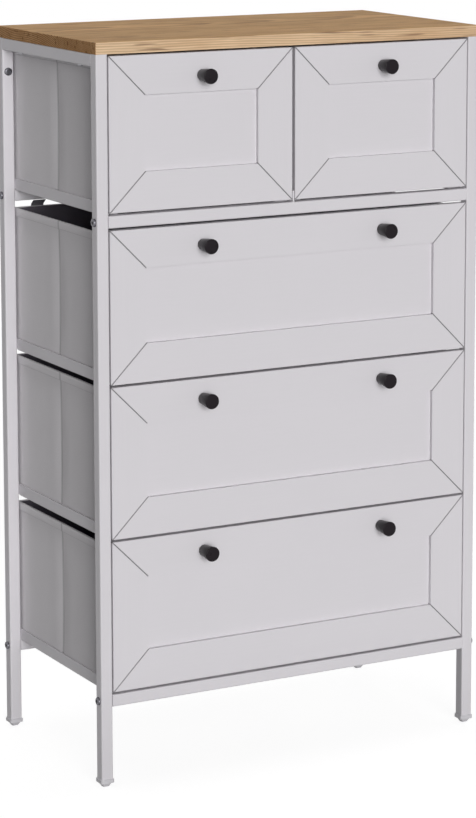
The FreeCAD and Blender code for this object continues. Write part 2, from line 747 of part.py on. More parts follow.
def panel_screws(drawer):
    """Four small screws from inside the box into the board's border."""
    body = new_body(
        f"{drawer.name}_panel_screws",
        x=drawer.across,
        y=f"{FRONT} + front_thick + bin_wall",
        z=drawer.middle,
    )
    (across, down), *_ = drawer.pin_places()
    headed_pin(body, "XY_Plane", PIN, "bin_wall + pin_bite", towards=-1, right=across, lift=down)
    repeat(body, mirrors=("YZ_Plane", "XY_Plane"))


def stop_tabs(drawer):
    """Webbing tabs sewn to the box's rear hem, which lean forward over the rim."""
    body = new_body(
        f"{drawer.name}_stop_tabs",
        x=drawer.across,
        y=f"{FRONT} + front_thick + {BIN_DEEP} + hem_proud",
        z=f"{drawer.bin_low} + bin_high",
    )
    sketch = new_sketch(body, "YZ_Plane", lift=f"tab_inset - ({drawer.half_bin})")
    outline(
        sketch,
        [
            ("0", "-tab_sewn"),
            ("tab_thick", "-tab_sewn"),
            ("tab_thick", "0"),
            ("tab_thick - tab_lean", "tab_rise"),
            ("-tab_lean", "tab_rise"),
            ("0", "0"),
        ],
    )
    pad(body, sketch, "tab_wide")
    repeat(body, mirrors=("YZ_Plane",))


# ---------------------------------------------------------------------------------------------------
# assembly


def build_frame():
    """Make every piece that stands still."""
    top_panel()
    for side in SIDES:
        for end in ENDS:
            post(end, side)
        top_rail(side)
        for row in SEATS:
            runner(row, side)
    for end in ENDS:
        cross_rail(end, "mid", RAIL_MID)
        cross_rail(end, "bottom", "rail_low")
    centre_runner()
    feet()
    frame_bolts()
    top_screws()
    wall_tabs()
    wall_tab_bolts()
    wall_tab_nuts()


def build_drawer(drawer):
    """Make every piece of one drawer."""
    front_panel(drawer)
    fabric_bin(drawer)
    base_board(drawer)
    for name, across in drawer.knobs.items():
        knob(drawer, name, across)
    knob_screws(drawer)
    panel_screws(drawer)


def check():
    """Stop if any object of the document failed, or a piece has no sound solid."""
    for item in document.Objects:
        if {"Invalid", "Error"} & set(item.State):
            raise ValueError(f"{item.Name} is {item.State}")
    for body in pieces:
        if body.Shape.isNull() or not body.Shape.isValid() or not body.Shape.Solids:
            raise ValueError(f"{body.Label} has no sound solid")


def write_pieces():
    """Write each piece to a file of its own name."""
    os.makedirs("parts", exist_ok=True)
    for body in pieces:
        body.Shape.exportStep(f"parts/{body.Label}.step")
    whole = Part.makeCompound([body.Shape for body in pieces]).BoundBox
    print(f"{len(pieces)} pieces, X {whole.XMin:.2f} {whole.XMax:.2f}")
    print(f"Y {whole.YMin:.2f} {whole.YMax:.2f}, Z {whole.ZMin:.2f} {whole.ZMax:.2f}")


fill_sheet()
build_frame()
for each in DRAWERS:
    build_drawer(each)
    if each.name == "upper":
        stop_tabs(each)
document.recompute()
check()
write_pieces()
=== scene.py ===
"""Looks of a dresser with five fabric drawers in a frame of square steel tube under an oak top.

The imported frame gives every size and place, in metres: +Z is up and the drawers' boards face -Y. Each
sub-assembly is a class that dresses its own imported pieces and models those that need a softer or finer
shape, and each finish is a class that wires its own material.
"""

import functools
import itertools
import logging
import math
import random
from contextlib import contextmanager
from dataclasses import dataclass, field, replace
from enum import Enum
from typing import Callable, ClassVar, Iterator

import bmesh
import bpy
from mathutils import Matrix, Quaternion, Vector


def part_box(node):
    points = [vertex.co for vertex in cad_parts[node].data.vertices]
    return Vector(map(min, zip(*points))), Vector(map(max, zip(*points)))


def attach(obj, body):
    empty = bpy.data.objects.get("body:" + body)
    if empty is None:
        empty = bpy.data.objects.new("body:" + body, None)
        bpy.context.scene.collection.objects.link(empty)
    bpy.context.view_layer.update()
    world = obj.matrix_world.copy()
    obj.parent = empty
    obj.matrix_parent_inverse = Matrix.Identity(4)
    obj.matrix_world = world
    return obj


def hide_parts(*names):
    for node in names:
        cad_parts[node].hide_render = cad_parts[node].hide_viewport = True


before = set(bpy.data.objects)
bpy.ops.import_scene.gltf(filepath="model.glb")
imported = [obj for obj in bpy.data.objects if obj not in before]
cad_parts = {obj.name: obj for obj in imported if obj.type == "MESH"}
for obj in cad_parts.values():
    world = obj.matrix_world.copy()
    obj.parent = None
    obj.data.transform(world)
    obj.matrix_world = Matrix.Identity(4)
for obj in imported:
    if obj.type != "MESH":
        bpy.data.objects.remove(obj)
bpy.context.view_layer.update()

Piece = bpy.types.Object
Socket = bpy.types.NodeSocket
Outputs = bpy.types.NodeOutputs
Feed = float | tuple[float, ...] | Vector | Socket
Feeds = dict[str | int, Feed]
Pair = tuple[float, float]
Triple = tuple[float, float, float]
Colour = tuple[float, float, float, float]

log = logging.getLogger("dresser")

MM = 0.001
TINY = 0.05 * MM  # closer than this counts as touching
SHARP = math.radians(55)  # edges that turn more than this are softened
SMOOTH = math.radians(35)  # edges that turn more than this are shaded sharp
ALONG = 0.9  # least share of a normal along an axis, on a face that looks along it
LYING = 0.7  # least upward share of a lying face's normal
STANDING = 0.5  # greatest upward share of a standing face's normal
WHITE = (1.0, 1.0, 1.0, 1.0)

FLAT_MAP = "flat"
AWAY = 2.0  # how far off the walls, on a box's flat map, its other faces lie
HEM_HIGH = 12 * MM
TOP_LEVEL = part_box("top_panel")[1].z
BOX_MIDDLE = sum(corner.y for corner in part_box("upper_base_board")) / 2


class Side(Enum):
    """The two sides of the dresser, as signs along X."""

    LEFT = -1
    RIGHT = 1

    @property
    def word(self) -> str:
        """The side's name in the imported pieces' names."""
        return self.name.lower()


class Recess(Enum):
    """What turns a screw, by the corners or arms of its recess."""

    HEXAGON = 6
    CROSS = 4


class DrawerName(Enum):
    """The five drawers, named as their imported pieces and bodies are."""

    TOP_LEFT = "top_left"
    TOP_RIGHT = "top_right"
    UPPER = "upper"
    MIDDLE = "middle"
    LOWER = "lower"


def srgb(red: int, green: int, blue: int) -> Colour:
    """Turn a colour as a screen shows it into the linear colour that shaders take.

    Args:
        red: how much red, from 0 to 255.
        green: how much green.
        blue: how much blue.

    Returns:
        The linear colour, with a full alpha.
    """

    def linear(part: int) -> float:
        """Turn one part of the colour into a linear share."""
        share = part / 255
        return share / 12.92 if share <= 0.04045 else ((share + 0.055) / 1.055) ** 2.4

    return linear(red), linear(green), linear(blue), 1.0


# Nodes


class Net:
    """The net of nodes in one tree: adds nodes and feeds them with values or other nodes' outputs."""

    def __init__(self, tree: bpy.types.NodeTree) -> None:
        """Work on a node tree."""
        self.tree = tree

    @classmethod
    def of(cls, owner: bpy.types.Material | bpy.types.World) -> "Net":
        """Empty the node tree of a material or a world.

        Args:
            owner: the material or world.

        Returns:
            The net of its nodes.
        """
        owner.use_nodes = True
        owner.node_tree.nodes.clear()
        return cls(owner.node_tree)

    def add(self, kind: str, feeds: Feeds | None = None, **settings: object) -> bpy.types.Node:
        """Add a node.

        Args:
            kind: the node's type, such as ShaderNodeTexNoise.
            feeds: what goes into each of its inputs, by the input's name or number.
            **settings: the node's own properties.

        Returns:
            The new node.
        """
        node = self.tree.nodes.new(kind)
        for name, value in settings.items():
            setattr(node, name, value)
        for name, value in (feeds or {}).items():
            if isinstance(value, Socket):
                self.tree.links.new(value, node.inputs[name])
            else:
                node.inputs[name].default_value = value
        return node

    def maths(self, operation: str, *terms: Feed) -> Socket:
        """Add a Math node and return its result."""
        return self.add("ShaderNodeMath", dict(enumerate(terms)), operation=operation).outputs[0]

    def times(self, *terms: Feed) -> Socket:
        """Multiply two or more values."""
        return functools.reduce(lambda first, second: self.maths("MULTIPLY", first, second), terms)

    times_plus = functools.partialmethod(maths, "MULTIPLY_ADD")
    minus = functools.partialmethod(maths, "SUBTRACT")
    over = functools.partialmethod(maths, "DIVIDE")
    size = functools.partialmethod(maths, "ABSOLUTE")
    above = functools.partialmethod(maths, "GREATER_THAN")

    def vector_maths(self, operation: str, *terms: Feed) -> Socket:
        """Add a Vector Math node and return its vector."""
        return self.add("ShaderNodeVectorMath", dict(enumerate(terms)), operation=operation).outputs[0]

    def scaled(self, vector: Feed, share: Feed) -> Socket:
        """Multiply a vector or a colour by one number."""
        flat = vector[:3] if isinstance(vector, tuple) else vector
        return self.add("ShaderNodeVectorMath", {0: flat, "Scale": share}, operation="SCALE").outputs[0]

    def split(self, vector: Feed) -> tuple[Socket, ...]:
        """Return a vector's X, Y and Z."""
        return tuple(self.add("ShaderNodeSeparateXYZ", {0: vector}).outputs)

    def joined(self, x: Feed, y: Feed, z: Feed) -> Socket:
        """Return the vector of three values."""
        return self.add("ShaderNodeCombineXYZ", {0: x, 1: y, 2: z}).outputs[0]

    def noise(self, vector: Feed, scale: Feed, detail: float, roughness: float = 0.5) -> Socket:
        """Add a noise of 0 to 1 and return it."""
        feeds = {"Vector": vector, "Scale": scale, "Detail": detail, "Roughness": roughness}
        return self.add("ShaderNodeTexNoise", feeds).outputs[0]

    def streaks(self, vector: Feed, rates: Triple, detail: float, roughness: float = 0.5) -> Socket:
        """Add a noise that is stretched to its own number of repeats in a metre along each axis."""
        return self.noise(self.vector_maths("MULTIPLY", vector, rates), 1.0, detail, roughness)

    def ranged(self, value: Feed, low: Feed, high: Feed, to_low: Feed = 0.0, to_high: Feed = 1.0) -> Socket:
        """Carry a value from one range to another, held at its ends."""
        feeds = {0: value, 1: low, 2: high, 3: to_low, 4: to_high}
        return self.add("ShaderNodeMapRange", feeds, clamp=True).outputs[0]

    def blend(self, share: Feed, first: Feed, second: Feed) -> Socket:
        """Blend two numbers by a share of 0 to 1."""
        return self.add("ShaderNodeMix", {0: share, 2: first, 3: second}).outputs[0]

    def tint(self, share: Feed, first: Feed, second: Feed) -> Socket:
        """Blend two colours by a share of 0 to 1."""
        return self.add("ShaderNodeMix", {0: share, 6: first, 7: second}, data_type="RGBA").outputs[2]


class Effect:
    """A shader node group that several finishes share, wired the first time that it is asked for."""

    title: ClassVar[str]
    takes: ClassVar[tuple[str, ...]]
    gives: ClassVar[tuple[str, ...]]

    @classmethod
    def use(cls, net: Net, **feeds: Feed) -> Outputs:
        """Place the group in a material, feed its inputs by name and return its outputs."""
        return net.add("ShaderNodeGroup", feeds, node_tree=cls.tree()).outputs

    @classmethod
    def tree(cls) -> bpy.types.NodeTree:
        """Wire the group unless it is known. An input named Vector takes a vector, and the others numbers.

        Returns:
            The group's tree.
        """
        known = bpy.data.node_groups.get(cls.title)
        if known:
            return known
        tree = bpy.data.node_groups.new(cls.title, "ShaderNodeTree")
        for name in cls.takes:
            kind = "Vector" if name == "Vector" else "Float"
            tree.interface.new_socket(name, in_out="INPUT", socket_type=f"NodeSocket{kind}")
        for name in cls.gives:
            tree.interface.new_socket(name, in_out="OUTPUT", socket_type="NodeSocketFloat")
        net = Net(tree)
        net.add("NodeGroupOutput", cls.wire(net, net.add("NodeGroupInput").outputs))
        return tree

    @classmethod
    def wire(cls, net: Net, given: Outputs) -> dict[str, Socket]:
        """Wire the group's inside from what it is given, and return its outputs by name."""
        raise NotImplementedError


class Mottle(Effect):
    """Slow unevenness of a coat or cloth, from -1 to 1, and fine grit of 0 to 1."""

    title = "Mottle"
    takes = ("Vector", "Patch", "Grit")
    gives = ("Patches", "Grains")
    span = (0.25, 0.75)

    @classmethod
    def wire(cls, net: Net, given: Outputs) -> dict[str, Socket]:
        """Wire two noises whose grain is given as lengths.

        Args:
            net: the group's net.
            given: the group's inputs.

        Returns:
            The group's outputs by name.
        """
        slow = net.noise(given["Vector"], net.over(1.0, given["Patch"]), detail=3.0)
        fine = net.noise(given["Vector"], net.over(1.0, given["Grit"]), detail=2.0)
        return {"Patches": net.ranged(slow, *cls.span, -1.0, 1.0), "Grains": fine}


class LongGrain(Effect):
    """Wood that grew along X: growth rings about a leaning axis below the board, bands, fibres and flecks.

    Each noise repeats seldom along the grain and often across it.
    """

    title = "Long grain"
    takes = ("Vector", "Ring", "Sway", "Below", "Behind", "Lean")
    gives = ("Rings", "Bands", "Fibres", "Flecks")
    sways = (2.4, 9.0, 9.0)
    bands, bands_span = (4.5, 30.0, 30.0), (0.32, 0.68)
    fibres, fibres_span = (20.0, 560.0, 560.0), (0.3, 0.7)
    flecks, flecks_span = (12.0, 190.0, 190.0), (0.6, 0.7)
    year_darkens, year_ends = (0.25, 0.88), (0.92, 1.0)

    @classmethod
    def wire(cls, net: Net, given: Outputs) -> dict[str, Socket]:
        """Wire the rings as shells about X that a slow noise pushes to and fro.

        Args:
            net: the group's net.
            given: the group's inputs.

        Returns:
            The group's outputs by name.
        """
        place = given["Vector"]
        along, across, up = net.split(place)
        pushed = net.times(net.minus(net.streaks(place, cls.sways, detail=4.0), 0.5), given["Sway"])
        below = net.maths("ADD", up, net.times_plus(along, given["Lean"], given["Below"]))
        from_axis = net.joined(net.minus(across, given["Behind"]), below, 0.0)
        reach = net.add("ShaderNodeVectorMath", {0: from_axis}, operation="LENGTH").outputs["Value"]
        year = net.maths("FRACT", net.over(net.maths("ADD", reach, pushed), given["Ring"]))
        dark = net.ranged(year, *cls.year_darkens)
        bands = net.streaks(place, cls.bands, detail=5.0, roughness=0.62)
        fibres = net.streaks(place, cls.fibres, detail=4.0, roughness=0.65)
        flecks = net.streaks(place, cls.flecks, detail=2.0)
        return {
            "Rings": net.times(dark, net.ranged(year, *cls.year_ends, 1.0, 0.0)),
            "Bands": net.ranged(bands, *cls.bands_span),
            "Fibres": net.ranged(fibres, *cls.fibres_span),
            "Flecks": net.ranged(flecks, *cls.flecks_span),
        }


class Weave(Effect):
    """Threads that cross over and under each other, from two coordinates in the cloth's plane."""

    title = "Weave"
    takes = ("Along", "Across", "Pitch")
    gives = ("Height",)

    @classmethod
    def wire(cls, net: Net, given: Outputs) -> dict[str, Socket]:
        """Wire the product of two waves, half a thread apart from row to row.

        Args:
            net: the group's net.
            given: the group's inputs.

        Returns:
            The group's outputs by name.
        """
        turn = net.over(math.pi, given["Pitch"])
        first = net.maths("SINE", net.times(given["Along"], turn))
        second = net.maths("SINE", net.times(given["Across"], turn))
        return {"Height": net.ranged(net.times(first, second), -1.0, 1.0)}


class StitchRow(Effect):
    """One row of machine stitches: 1 on the middle of a thread and 0 off it."""

    title = "Stitch row"
    takes = ("Along", "Off", "Pitch", "Thread")
    gives = ("Threads",)
    dash_end = (0.34, 0.42)
    thread_edge = (0.3, 1.0)

    @classmethod
    def wire(cls, net: Net, given: Outputs) -> dict[str, Socket]:
        """Wire dashes that fill three quarters of each pitch, given the distance off the row.

        Args:
            net: the group's net.
            given: the group's inputs.

        Returns:
            The group's outputs by name.
        """
        step = net.maths("FRACT", net.over(given["Along"], given["Pitch"]))
        on_dash = net.ranged(net.size(net.minus(step, 0.5)), *cls.dash_end, 1.0, 0.0)
        aside = net.over(net.size(given["Off"]), given["Thread"])
        return {"Threads": net.times(on_dash, net.ranged(aside, *cls.thread_edge, 1.0, 0.0))}


# Finishes


@dataclass(frozen=True)
class Finish:
    """A material that is wired once and then given to any number of pieces."""

    title: str

    def material(self) -> bpy.types.Material:
        """Wire the material unless it is known.

        Returns:
            The finish's material.
        """
        known = bpy.data.materials.get(self.title)
        if known:
            return known
        material = bpy.data.materials.new(self.title)
        net = Net.of(material)
        shader = net.add("ShaderNodeBsdfPrincipled", self.wire(net))
        net.add("ShaderNodeOutputMaterial", {0: shader.outputs[0]})
        return material

    def wire(self, net: Net) -> Feeds:
        """Wire the finish and return what goes into each input of its shader."""
        raise NotImplementedError

    def place(self, net: Net) -> Socket:
        """Return the place of a surface point in the dresser's own frame."""
        return net.add("ShaderNodeTexCoord").outputs["Object"]

    def facing(self, net: Net, axis: int) -> Socket:
        """Return how squarely the surface faces along X, Y or Z, given as 0, 1 or 2."""
        return net.size(net.split(net.add("ShaderNodeTexCoord").outputs["Normal"])[axis])

    def bumped(self, net: Net, height: Feed, depth: float) -> Socket:
        """Return a normal that follows a height of 0 to 1 over a depth in metres."""
        return net.add("ShaderNodeBump", {"Height": height, "Distance": depth, "Strength": 1.0}).outputs[0]


@dataclass(frozen=True)
class Skin(Finish):
    """Painted, moulded or plated skin: colour and gloss wander in patches, over a fine grit."""

    colour: Colour
    patch: float
    uneven: float
    rough: Pair
    grit: float
    deep: float
    shine: float = 0.5
    metal: float = 0.0

    def wire(self, net: Net) -> Feeds:
        """Wire the patches and the grit.

        Args:
            net: the material's net.

        Returns:
            What goes into each input of the shader.
        """
        mottle = Mottle.use(net, Vector=self.place(net), Patch=self.patch, Grit=self.grit)
        return {
            "Base Color": net.scaled(self.colour, net.times_plus(mottle["Patches"], self.uneven, 1.0)),
            "Roughness": net.ranged(mottle["Patches"], -1.0, 1.0, *self.rough),
            "Specular IOR Level": self.shine,
            "Metallic": self.metal,
            "Normal": self.bumped(net, mottle["Grains"], self.deep),
        }


@dataclass(frozen=True)
class Oak(Finish):
    """Oiled brown oak that grew along X, darker on the end grain, with a painted sheen that makes its front
    edge paler.
    """

    pale: Colour
    brown: Colour
    late_wood: Colour
    fleck: Colour
    level: float
    end_shade: Colour = (0.8, 0.77, 0.8, 1.0)
    # painted sheen: paler, less saturated colour on the faces that look along Y, standing in for light on the
    # front edge
    band_shade: Colour = (1.0, 1.17, 1.58, 1.0)
    ring: float = 2.4 * MM
    sway: float = 9 * MM
    below: float = 260 * MM
    behind: float = 60 * MM
    lean: float = 0.02
    fibre_share: float = 0.45
    fleck_share: float = 0.65
    ring_share: float = 0.5
    more_at_ends: float = 0.42
    ring_deep: float = 0.5
    edge: Pair = (0.6, 0.8)
    patch: float = 160 * MM
    uneven: float = 0.09
    rough: Pair = (0.66, 0.78)
    shine: float = 0.02
    deep: float = 0.05 * MM

    def wire(self, net: Net) -> Feeds:
        """Wire broad bands and fibres, then the rings, then a few dark flecks.

        Args:
            net: the material's net.

        Returns:
            What goes into each input of the shader.
        """
        place = net.vector_maths("SUBTRACT", self.place(net), (0.0, 0.0, self.level))
        axis = {"Below": self.below, "Behind": self.behind, "Lean": self.lean}
        grain = LongGrain.use(net, Vector=place, Ring=self.ring, Sway=self.sway, **axis)
        patches = Mottle.use(net, Vector=place, Patch=self.patch)["Patches"]
        at_end = net.ranged(self.facing(net, 0), *self.edge)
        at_front = net.ranged(self.facing(net, 1), *self.edge)
        fibres = net.times(grain["Fibres"], self.fibre_share)
        base = net.tint(net.times_plus(grain["Bands"], 1 - self.fibre_share, fibres), self.pale, self.brown)
        ring_share = net.times_plus(at_end, self.more_at_ends, self.ring_share)
        ringed = net.tint(net.times(grain["Rings"], ring_share), base, self.late_wood)
        flecked = net.tint(net.times(grain["Flecks"], self.fleck_share), ringed, self.fleck)
        # painted sheen on the faces along Y; the darker end grain is the wood's own tone
        end_grain_and_front_sheen = net.tint(at_front, net.tint(at_end, WHITE, self.end_shade), self.band_shade)
        tone = net.times_plus(patches, self.uneven, 1.0)
        height = net.minus(grain["Fibres"], net.times(grain["Rings"], self.ring_deep))
        return {
            "Base Color": net.scaled(net.vector_maths("MULTIPLY", flecked, end_grain_and_front_sheen), tone),
            "Roughness": net.ranged(grain["Fibres"], 0.0, 1.0, *self.rough),
            "Specular IOR Level": self.shine,
            "Normal": self.bumped(net, height, self.deep),
        }


@dataclass(frozen=True)
class FacedBoard(Finish):
    """Painted board with a faint embossed grain that turns at the mitres of its border, and painted shade
    along the mitre grooves.
    """

    colour: Colour
    centre: Pair
    half: Pair
    border: float = 50 * MM
    border_edge: float = 0.3 * MM
    mitre: float = 1.1 * MM
    mitre_soft: float = 0.4
    # painted shade in the mitre grooves
    mitre_shade: float = 0.45
    grain: Triple = (14.0, 420.0, 1.0)
    uprights_off: float = 0.7
    fibre: Pair = (0.3, 0.7)
    fibre_tone: Pair = (0.992, 1.004)
    patch: float = 140 * MM
    uneven: float = 0.008
    rough: Pair = (0.5, 0.58)
    shine: float = 0.35
    deep: float = 0.06 * MM

    def wire(self, net: Net) -> Feeds:
        """Wire the border's members from the distance to the board's edges.

        Args:
            net: the material's net.

        Returns:
            What goes into each input of the shader.
        """
        place = self.place(net)
        along, _, up = net.split(place)
        across, rise = net.minus(along, self.centre[0]), net.minus(up, self.centre[1])
        from_side = net.minus(self.half[0], net.size(across))
        from_end = net.minus(self.half[1], net.size(rise))
        lead = net.minus(from_end, from_side)
        inner = self.border + self.border_edge
        in_border = net.ranged(net.maths("MINIMUM", from_side, from_end), self.border, inner, 1.0, 0.0)
        thin, thick = self.mitre * (1 - self.mitre_soft), self.mitre * (1 + self.mitre_soft)
        # painted shade: the colour darkens along each mitre, where the groove lies in shade
        line = net.times(net.ranged(net.size(lead), thin, thick, 1.0, 0.0), in_border)
        upright = net.times(net.above(lead, 0.0), in_border)
        run, aside = net.blend(upright, across, rise), net.blend(upright, rise, across)
        turned = net.joined(run, aside, net.times(upright, self.uprights_off))
        fibres = net.streaks(turned, self.grain, detail=3.0)
        patches = Mottle.use(net, Vector=place, Patch=self.patch)["Patches"]
        tone = net.times(
            net.times_plus(patches, self.uneven, 1.0),
            net.ranged(fibres, *self.fibre, *self.fibre_tone),
            net.ranged(line, 0.0, 1.0, 1.0, self.mitre_shade),
        )
        return {
            "Base Color": net.scaled(self.colour, tone),
            "Roughness": net.ranged(fibres, *self.fibre, *self.rough),
            "Specular IOR Level": self.shine,
            "Normal": self.bumped(net, fibres, self.deep),
        }


@dataclass(frozen=True)
class Cloth(Finish):
    """Non-woven cloth: embossed points, felted fibres, a pressed fold with painted shade along it, and a row
    of stitches along its hem.
    """

    colour: Colour
    thread: Colour
    stitch_level: float
    fold_at: float
    fold_half: Pair = (1 * MM, 3 * MM)
    # painted shade along the pressed fold
    fold_shade: float = 0.72
    point: float = 1.3 * MM
    stitch: float = 3.6 * MM
    thread_half: float = 0.4 * MM
    felt: Triple = (900.0, 700.0, 1.0)
    felt_span: Pair = (0.25, 0.75)
    felt_tone: Pair = (0.96, 1.03)
    felt_high: float = 0.4
    waves: Triple = (38.0, 2.5, 1.0)
    waves_high: float = 2.0
    point_tone: Pair = (0.985, 1.01)
    points_high: float = 0.25
    stitches_high: float = 2.5
    patch: float = 50 * MM
    uneven: float = 0.015
    rough_span: Pair = (0.2, 0.8)
    rough: Pair = (0.86, 0.96)
    shine: float = 0.2
    sheen: float = 0.05
    sheen_rough: float = 0.6
    deep: float = 0.1 * MM

    def wire(self, net: Net) -> Feeds:
        """Wire the cloth on the box's own map, in metres round the box and down from its rim.

        Args:
            net: the material's net.

        Returns:
            What goes into each input of the shader.
        """
        flat = net.add("ShaderNodeUVMap", uv_map=FLAT_MAP).outputs[0]
        along, up, _ = net.split(flat)
        felt = net.streaks(flat, self.felt, detail=3.0)
        waves = net.streaks(flat, self.waves, detail=2.0)
        points = Weave.use(net, Along=along, Across=up, Pitch=self.point)["Height"]
        patches = Mottle.use(net, Vector=flat, Patch=self.patch)["Patches"]
        off = net.minus(up, self.stitch_level)
        row = StitchRow.use(net, Along=along, Off=off, Pitch=self.stitch, Thread=self.thread_half)["Threads"]
        off_fold = net.size(net.minus(along, self.fold_at))
        tone = net.times(
            net.times_plus(patches, self.uneven, 1.0),
            net.ranged(felt, *self.felt_span, *self.felt_tone),
            net.ranged(points, 0.0, 1.0, *self.point_tone),
            # painted shade: the colour darkens along the pressed fold, where shade falls in the crease
            net.ranged(off_fold, *self.fold_half, self.fold_shade, 1.0),
        )
        height = net.times_plus(waves, self.waves_high, net.times(felt, self.felt_high))
        height = net.times_plus(points, self.points_high, height)
        height = net.times_plus(row, self.stitches_high, height)
        return {
            "Base Color": net.tint(row, net.scaled(self.colour, tone), self.thread),
            "Roughness": net.ranged(felt, *self.rough_span, *self.rough),
            "Specular IOR Level": self.shine,
            "Sheen Weight": self.sheen,
            "Sheen Roughness": self.sheen_rough,
            "Normal": self.bumped(net, height, self.deep),
        }


@dataclass(frozen=True)
class Woven(Finish):
    """Plain woven lining or webbing, with seams across it where it is sewn on."""

    colour: Colour
    pitch: float
    deep: float
    seams: tuple[float, ...] = ()
    stitch: float = 2.6 * MM
    thread_half: float = 0.4 * MM
    stitch_light: float = 1.1
    stitches_high: float = 1.5
    weave_tone: Pair = (0.75, 1.15)
    grains_high: float = 0.4
    patch: float = 30 * MM
    uneven: float = 0.08
    rough_span: Pair = (0.2, 0.8)
    rough: Pair = (0.8, 0.95)
    shine: float = 0.15
    sheen: float = 0.08

    def wire(self, net: Net) -> Feeds:
        """Wire threads in the plane that the surface faces, and lighter ones on the seams.

        Args:
            net: the material's net.

        Returns:
            What goes into each input of the shader.
        """
        place = self.place(net)
        x, y, z = net.split(place)
        sideways = net.above(self.facing(net, 0), LYING)
        lying = net.above(self.facing(net, 2), LYING)
        along, across = net.blend(sideways, x, y), net.blend(lying, z, y)
        weave = Weave.use(net, Along=along, Across=across, Pitch=self.pitch)["Height"]
        mottle = Mottle.use(net, Vector=place, Patch=self.patch, Grit=self.pitch)
        patches = net.times_plus(mottle["Patches"], self.uneven, 1.0)
        tone = net.times(patches, net.ranged(weave, 0.0, 1.0, *self.weave_tone))
        height = net.times_plus(mottle["Grains"], self.grains_high, weave)
        for level in self.seams:
            off = net.minus(z, level)
            row = StitchRow.use(net, Along=x, Off=off, Pitch=self.stitch, Thread=self.thread_half)["Threads"]
            tone = net.times_plus(row, self.stitch_light, tone)
            height = net.times_plus(row, self.stitches_high, height)
        return {
            "Base Color": net.scaled(self.colour, tone),
            "Roughness": net.ranged(mottle["Grains"], *self.rough_span, *self.rough),
            "Specular IOR Level": self.shine,
            "Sheen Weight": self.sheen,
            "Normal": self.bumped(net, height, self.deep),
        }


OFF_WHITE = srgb(211, 208, 212)
PAINT = Skin(
    "off_white_powder_coat",
    OFF_WHITE,
    patch=90 * MM,
    uneven=0.012,
    rough=(0.38, 0.5),
    grit=1.6 * MM,
    deep=0.03 * MM,
    shine=0.35,
)
FOOT_PLASTIC = Skin(
    "pale_grey_plastic",
    srgb(204, 202, 206),
    patch=12 * MM,
    uneven=0.04,
    rough=(0.45, 0.6),
    grit=0.5 * MM,
    deep=0.02 * MM,
)
BLACK = srgb(24, 18, 23)
KNOB_BLACK = replace(FOOT_PLASTIC, title="matt_black", colour=BLACK, rough=(0.26, 0.34), shine=0.15)
ZINC = Skin(
    "zinc_plate",
    srgb(150, 150, 154),
    patch=4 * MM,
    uneven=0.1,
    rough=(0.28, 0.45),
    grit=0.3 * MM,
    deep=0.01 * MM,
    metal=1.0,
)
DARK_ZINC = replace(ZINC, title="dark_zinc_plate", colour=srgb(104, 103, 108))
OAK = Oak(
    "oiled_oak",
    pale=srgb(238, 196, 142),
    brown=srgb(197, 151, 101),
    late_wood=srgb(148, 105, 68),
    fleck=srgb(112, 76, 50),
    level=TOP_LEVEL,
)
CLOTH = Cloth(
    "pale_cloth",
    colour=srgb(227, 224, 227),
    thread=srgb(190, 187, 191),
    stitch_level=1.8 * MM - HEM_HIGH,
    fold_at=BOX_MIDDLE,
)
LINING = Woven("black_lining", srgb(104, 99, 108), pitch=0.9 * MM, deep=0.08 * MM)
WEBBING = Woven("sewn_webbing", srgb(112, 110, 117), pitch=1.4 * MM, deep=0.25 * MM)


# Modelling


def hold(*pieces: Piece) -> None:
    """Select some pieces and nothing else, with the first of them active.

    Args:
        *pieces: the pieces, or none.
    """
    bpy.ops.object.select_all(action="DESELECT")
    for piece in pieces:
        piece.select_set(True)
    bpy.context.view_layer.objects.active = pieces[0] if pieces else None


def settle(piece: Piece, title: str) -> Piece:
    """Put an object's place into its mesh and name both.

    Args:
        piece: the object.
        title: its new name.

    Returns:
        The same object, at the origin.
    """
    hold(piece)
    bpy.ops.object.transform_apply(location=True, rotation=True, scale=True)
    piece.name = piece.data.name = title
    return piece


def start(title: str, add: Callable[..., object], **sizes: object) -> Piece:
    """Start a piece from a primitive, with nothing else selected.

    Args:
        title: the piece's name.
        add: the operator that adds the primitive.
        **sizes: the primitive's sizes and place.

    Returns:
        The piece, its place in its mesh.
    """
    hold()
    add(**sizes)
    return settle(bpy.context.active_object, title)


def block(title: str, low: Vector, high: Vector) -> Piece:
    """Start a piece from a plain block between two corners."""
    middle, size = (low + high) / 2, high - low
    return start(title, bpy.ops.mesh.primitive_cube_add, size=1.0, location=middle, scale=size)


def twin_of(piece: Piece) -> Piece:
    """Copy a piece, with a mesh of its own.

    Args:
        piece: what is copied.

    Returns:
        The copy, in the same place.
    """
    twin = piece.copy()
    twin.data = piece.data.copy()
    bpy.context.scene.collection.objects.link(twin)
    return twin


def joined(pieces: list[Piece], title: str) -> Piece:
    """Join pieces into one object.

    Args:
        pieces: the pieces, which are used up.
        title: the joined object's name.

    Returns:
        The joined object.
    """
    hold(*pieces)
    bpy.ops.object.join()
    return settle(pieces[0], title)


def copies(master: Piece, title: str, places: list[Vector], towards: Vector) -> Piece:
    """Copy a piece to a number of places and join the copies.

    Args:
        master: a piece with its seat at the origin that stands along +Z.
        title: the joined copies' name.
        places: where the seats go.
        towards: which way the copies stand.

    Returns:
        One object with a mesh of its own, each copy turned about its own axis by chance.
    """
    chance = random.Random(title)
    twins = []
    for place in places:
        twin = twin_of(master)
        spin = Quaternion((0.0, 0.0, 1.0), chance.uniform(0.0, math.tau))
        twin.rotation_euler = (towards.to_track_quat("Z", "Y") @ spin).to_euler()
        twin.location = place
        twins.append(settle(twin, title))
    return joined(twins, title)


def smooth(piece: Piece) -> None:
    """Shade a piece smooth, apart from its sharp edges."""
    hold(piece)
    bpy.ops.object.shade_smooth_by_angle(angle=SMOOTH)


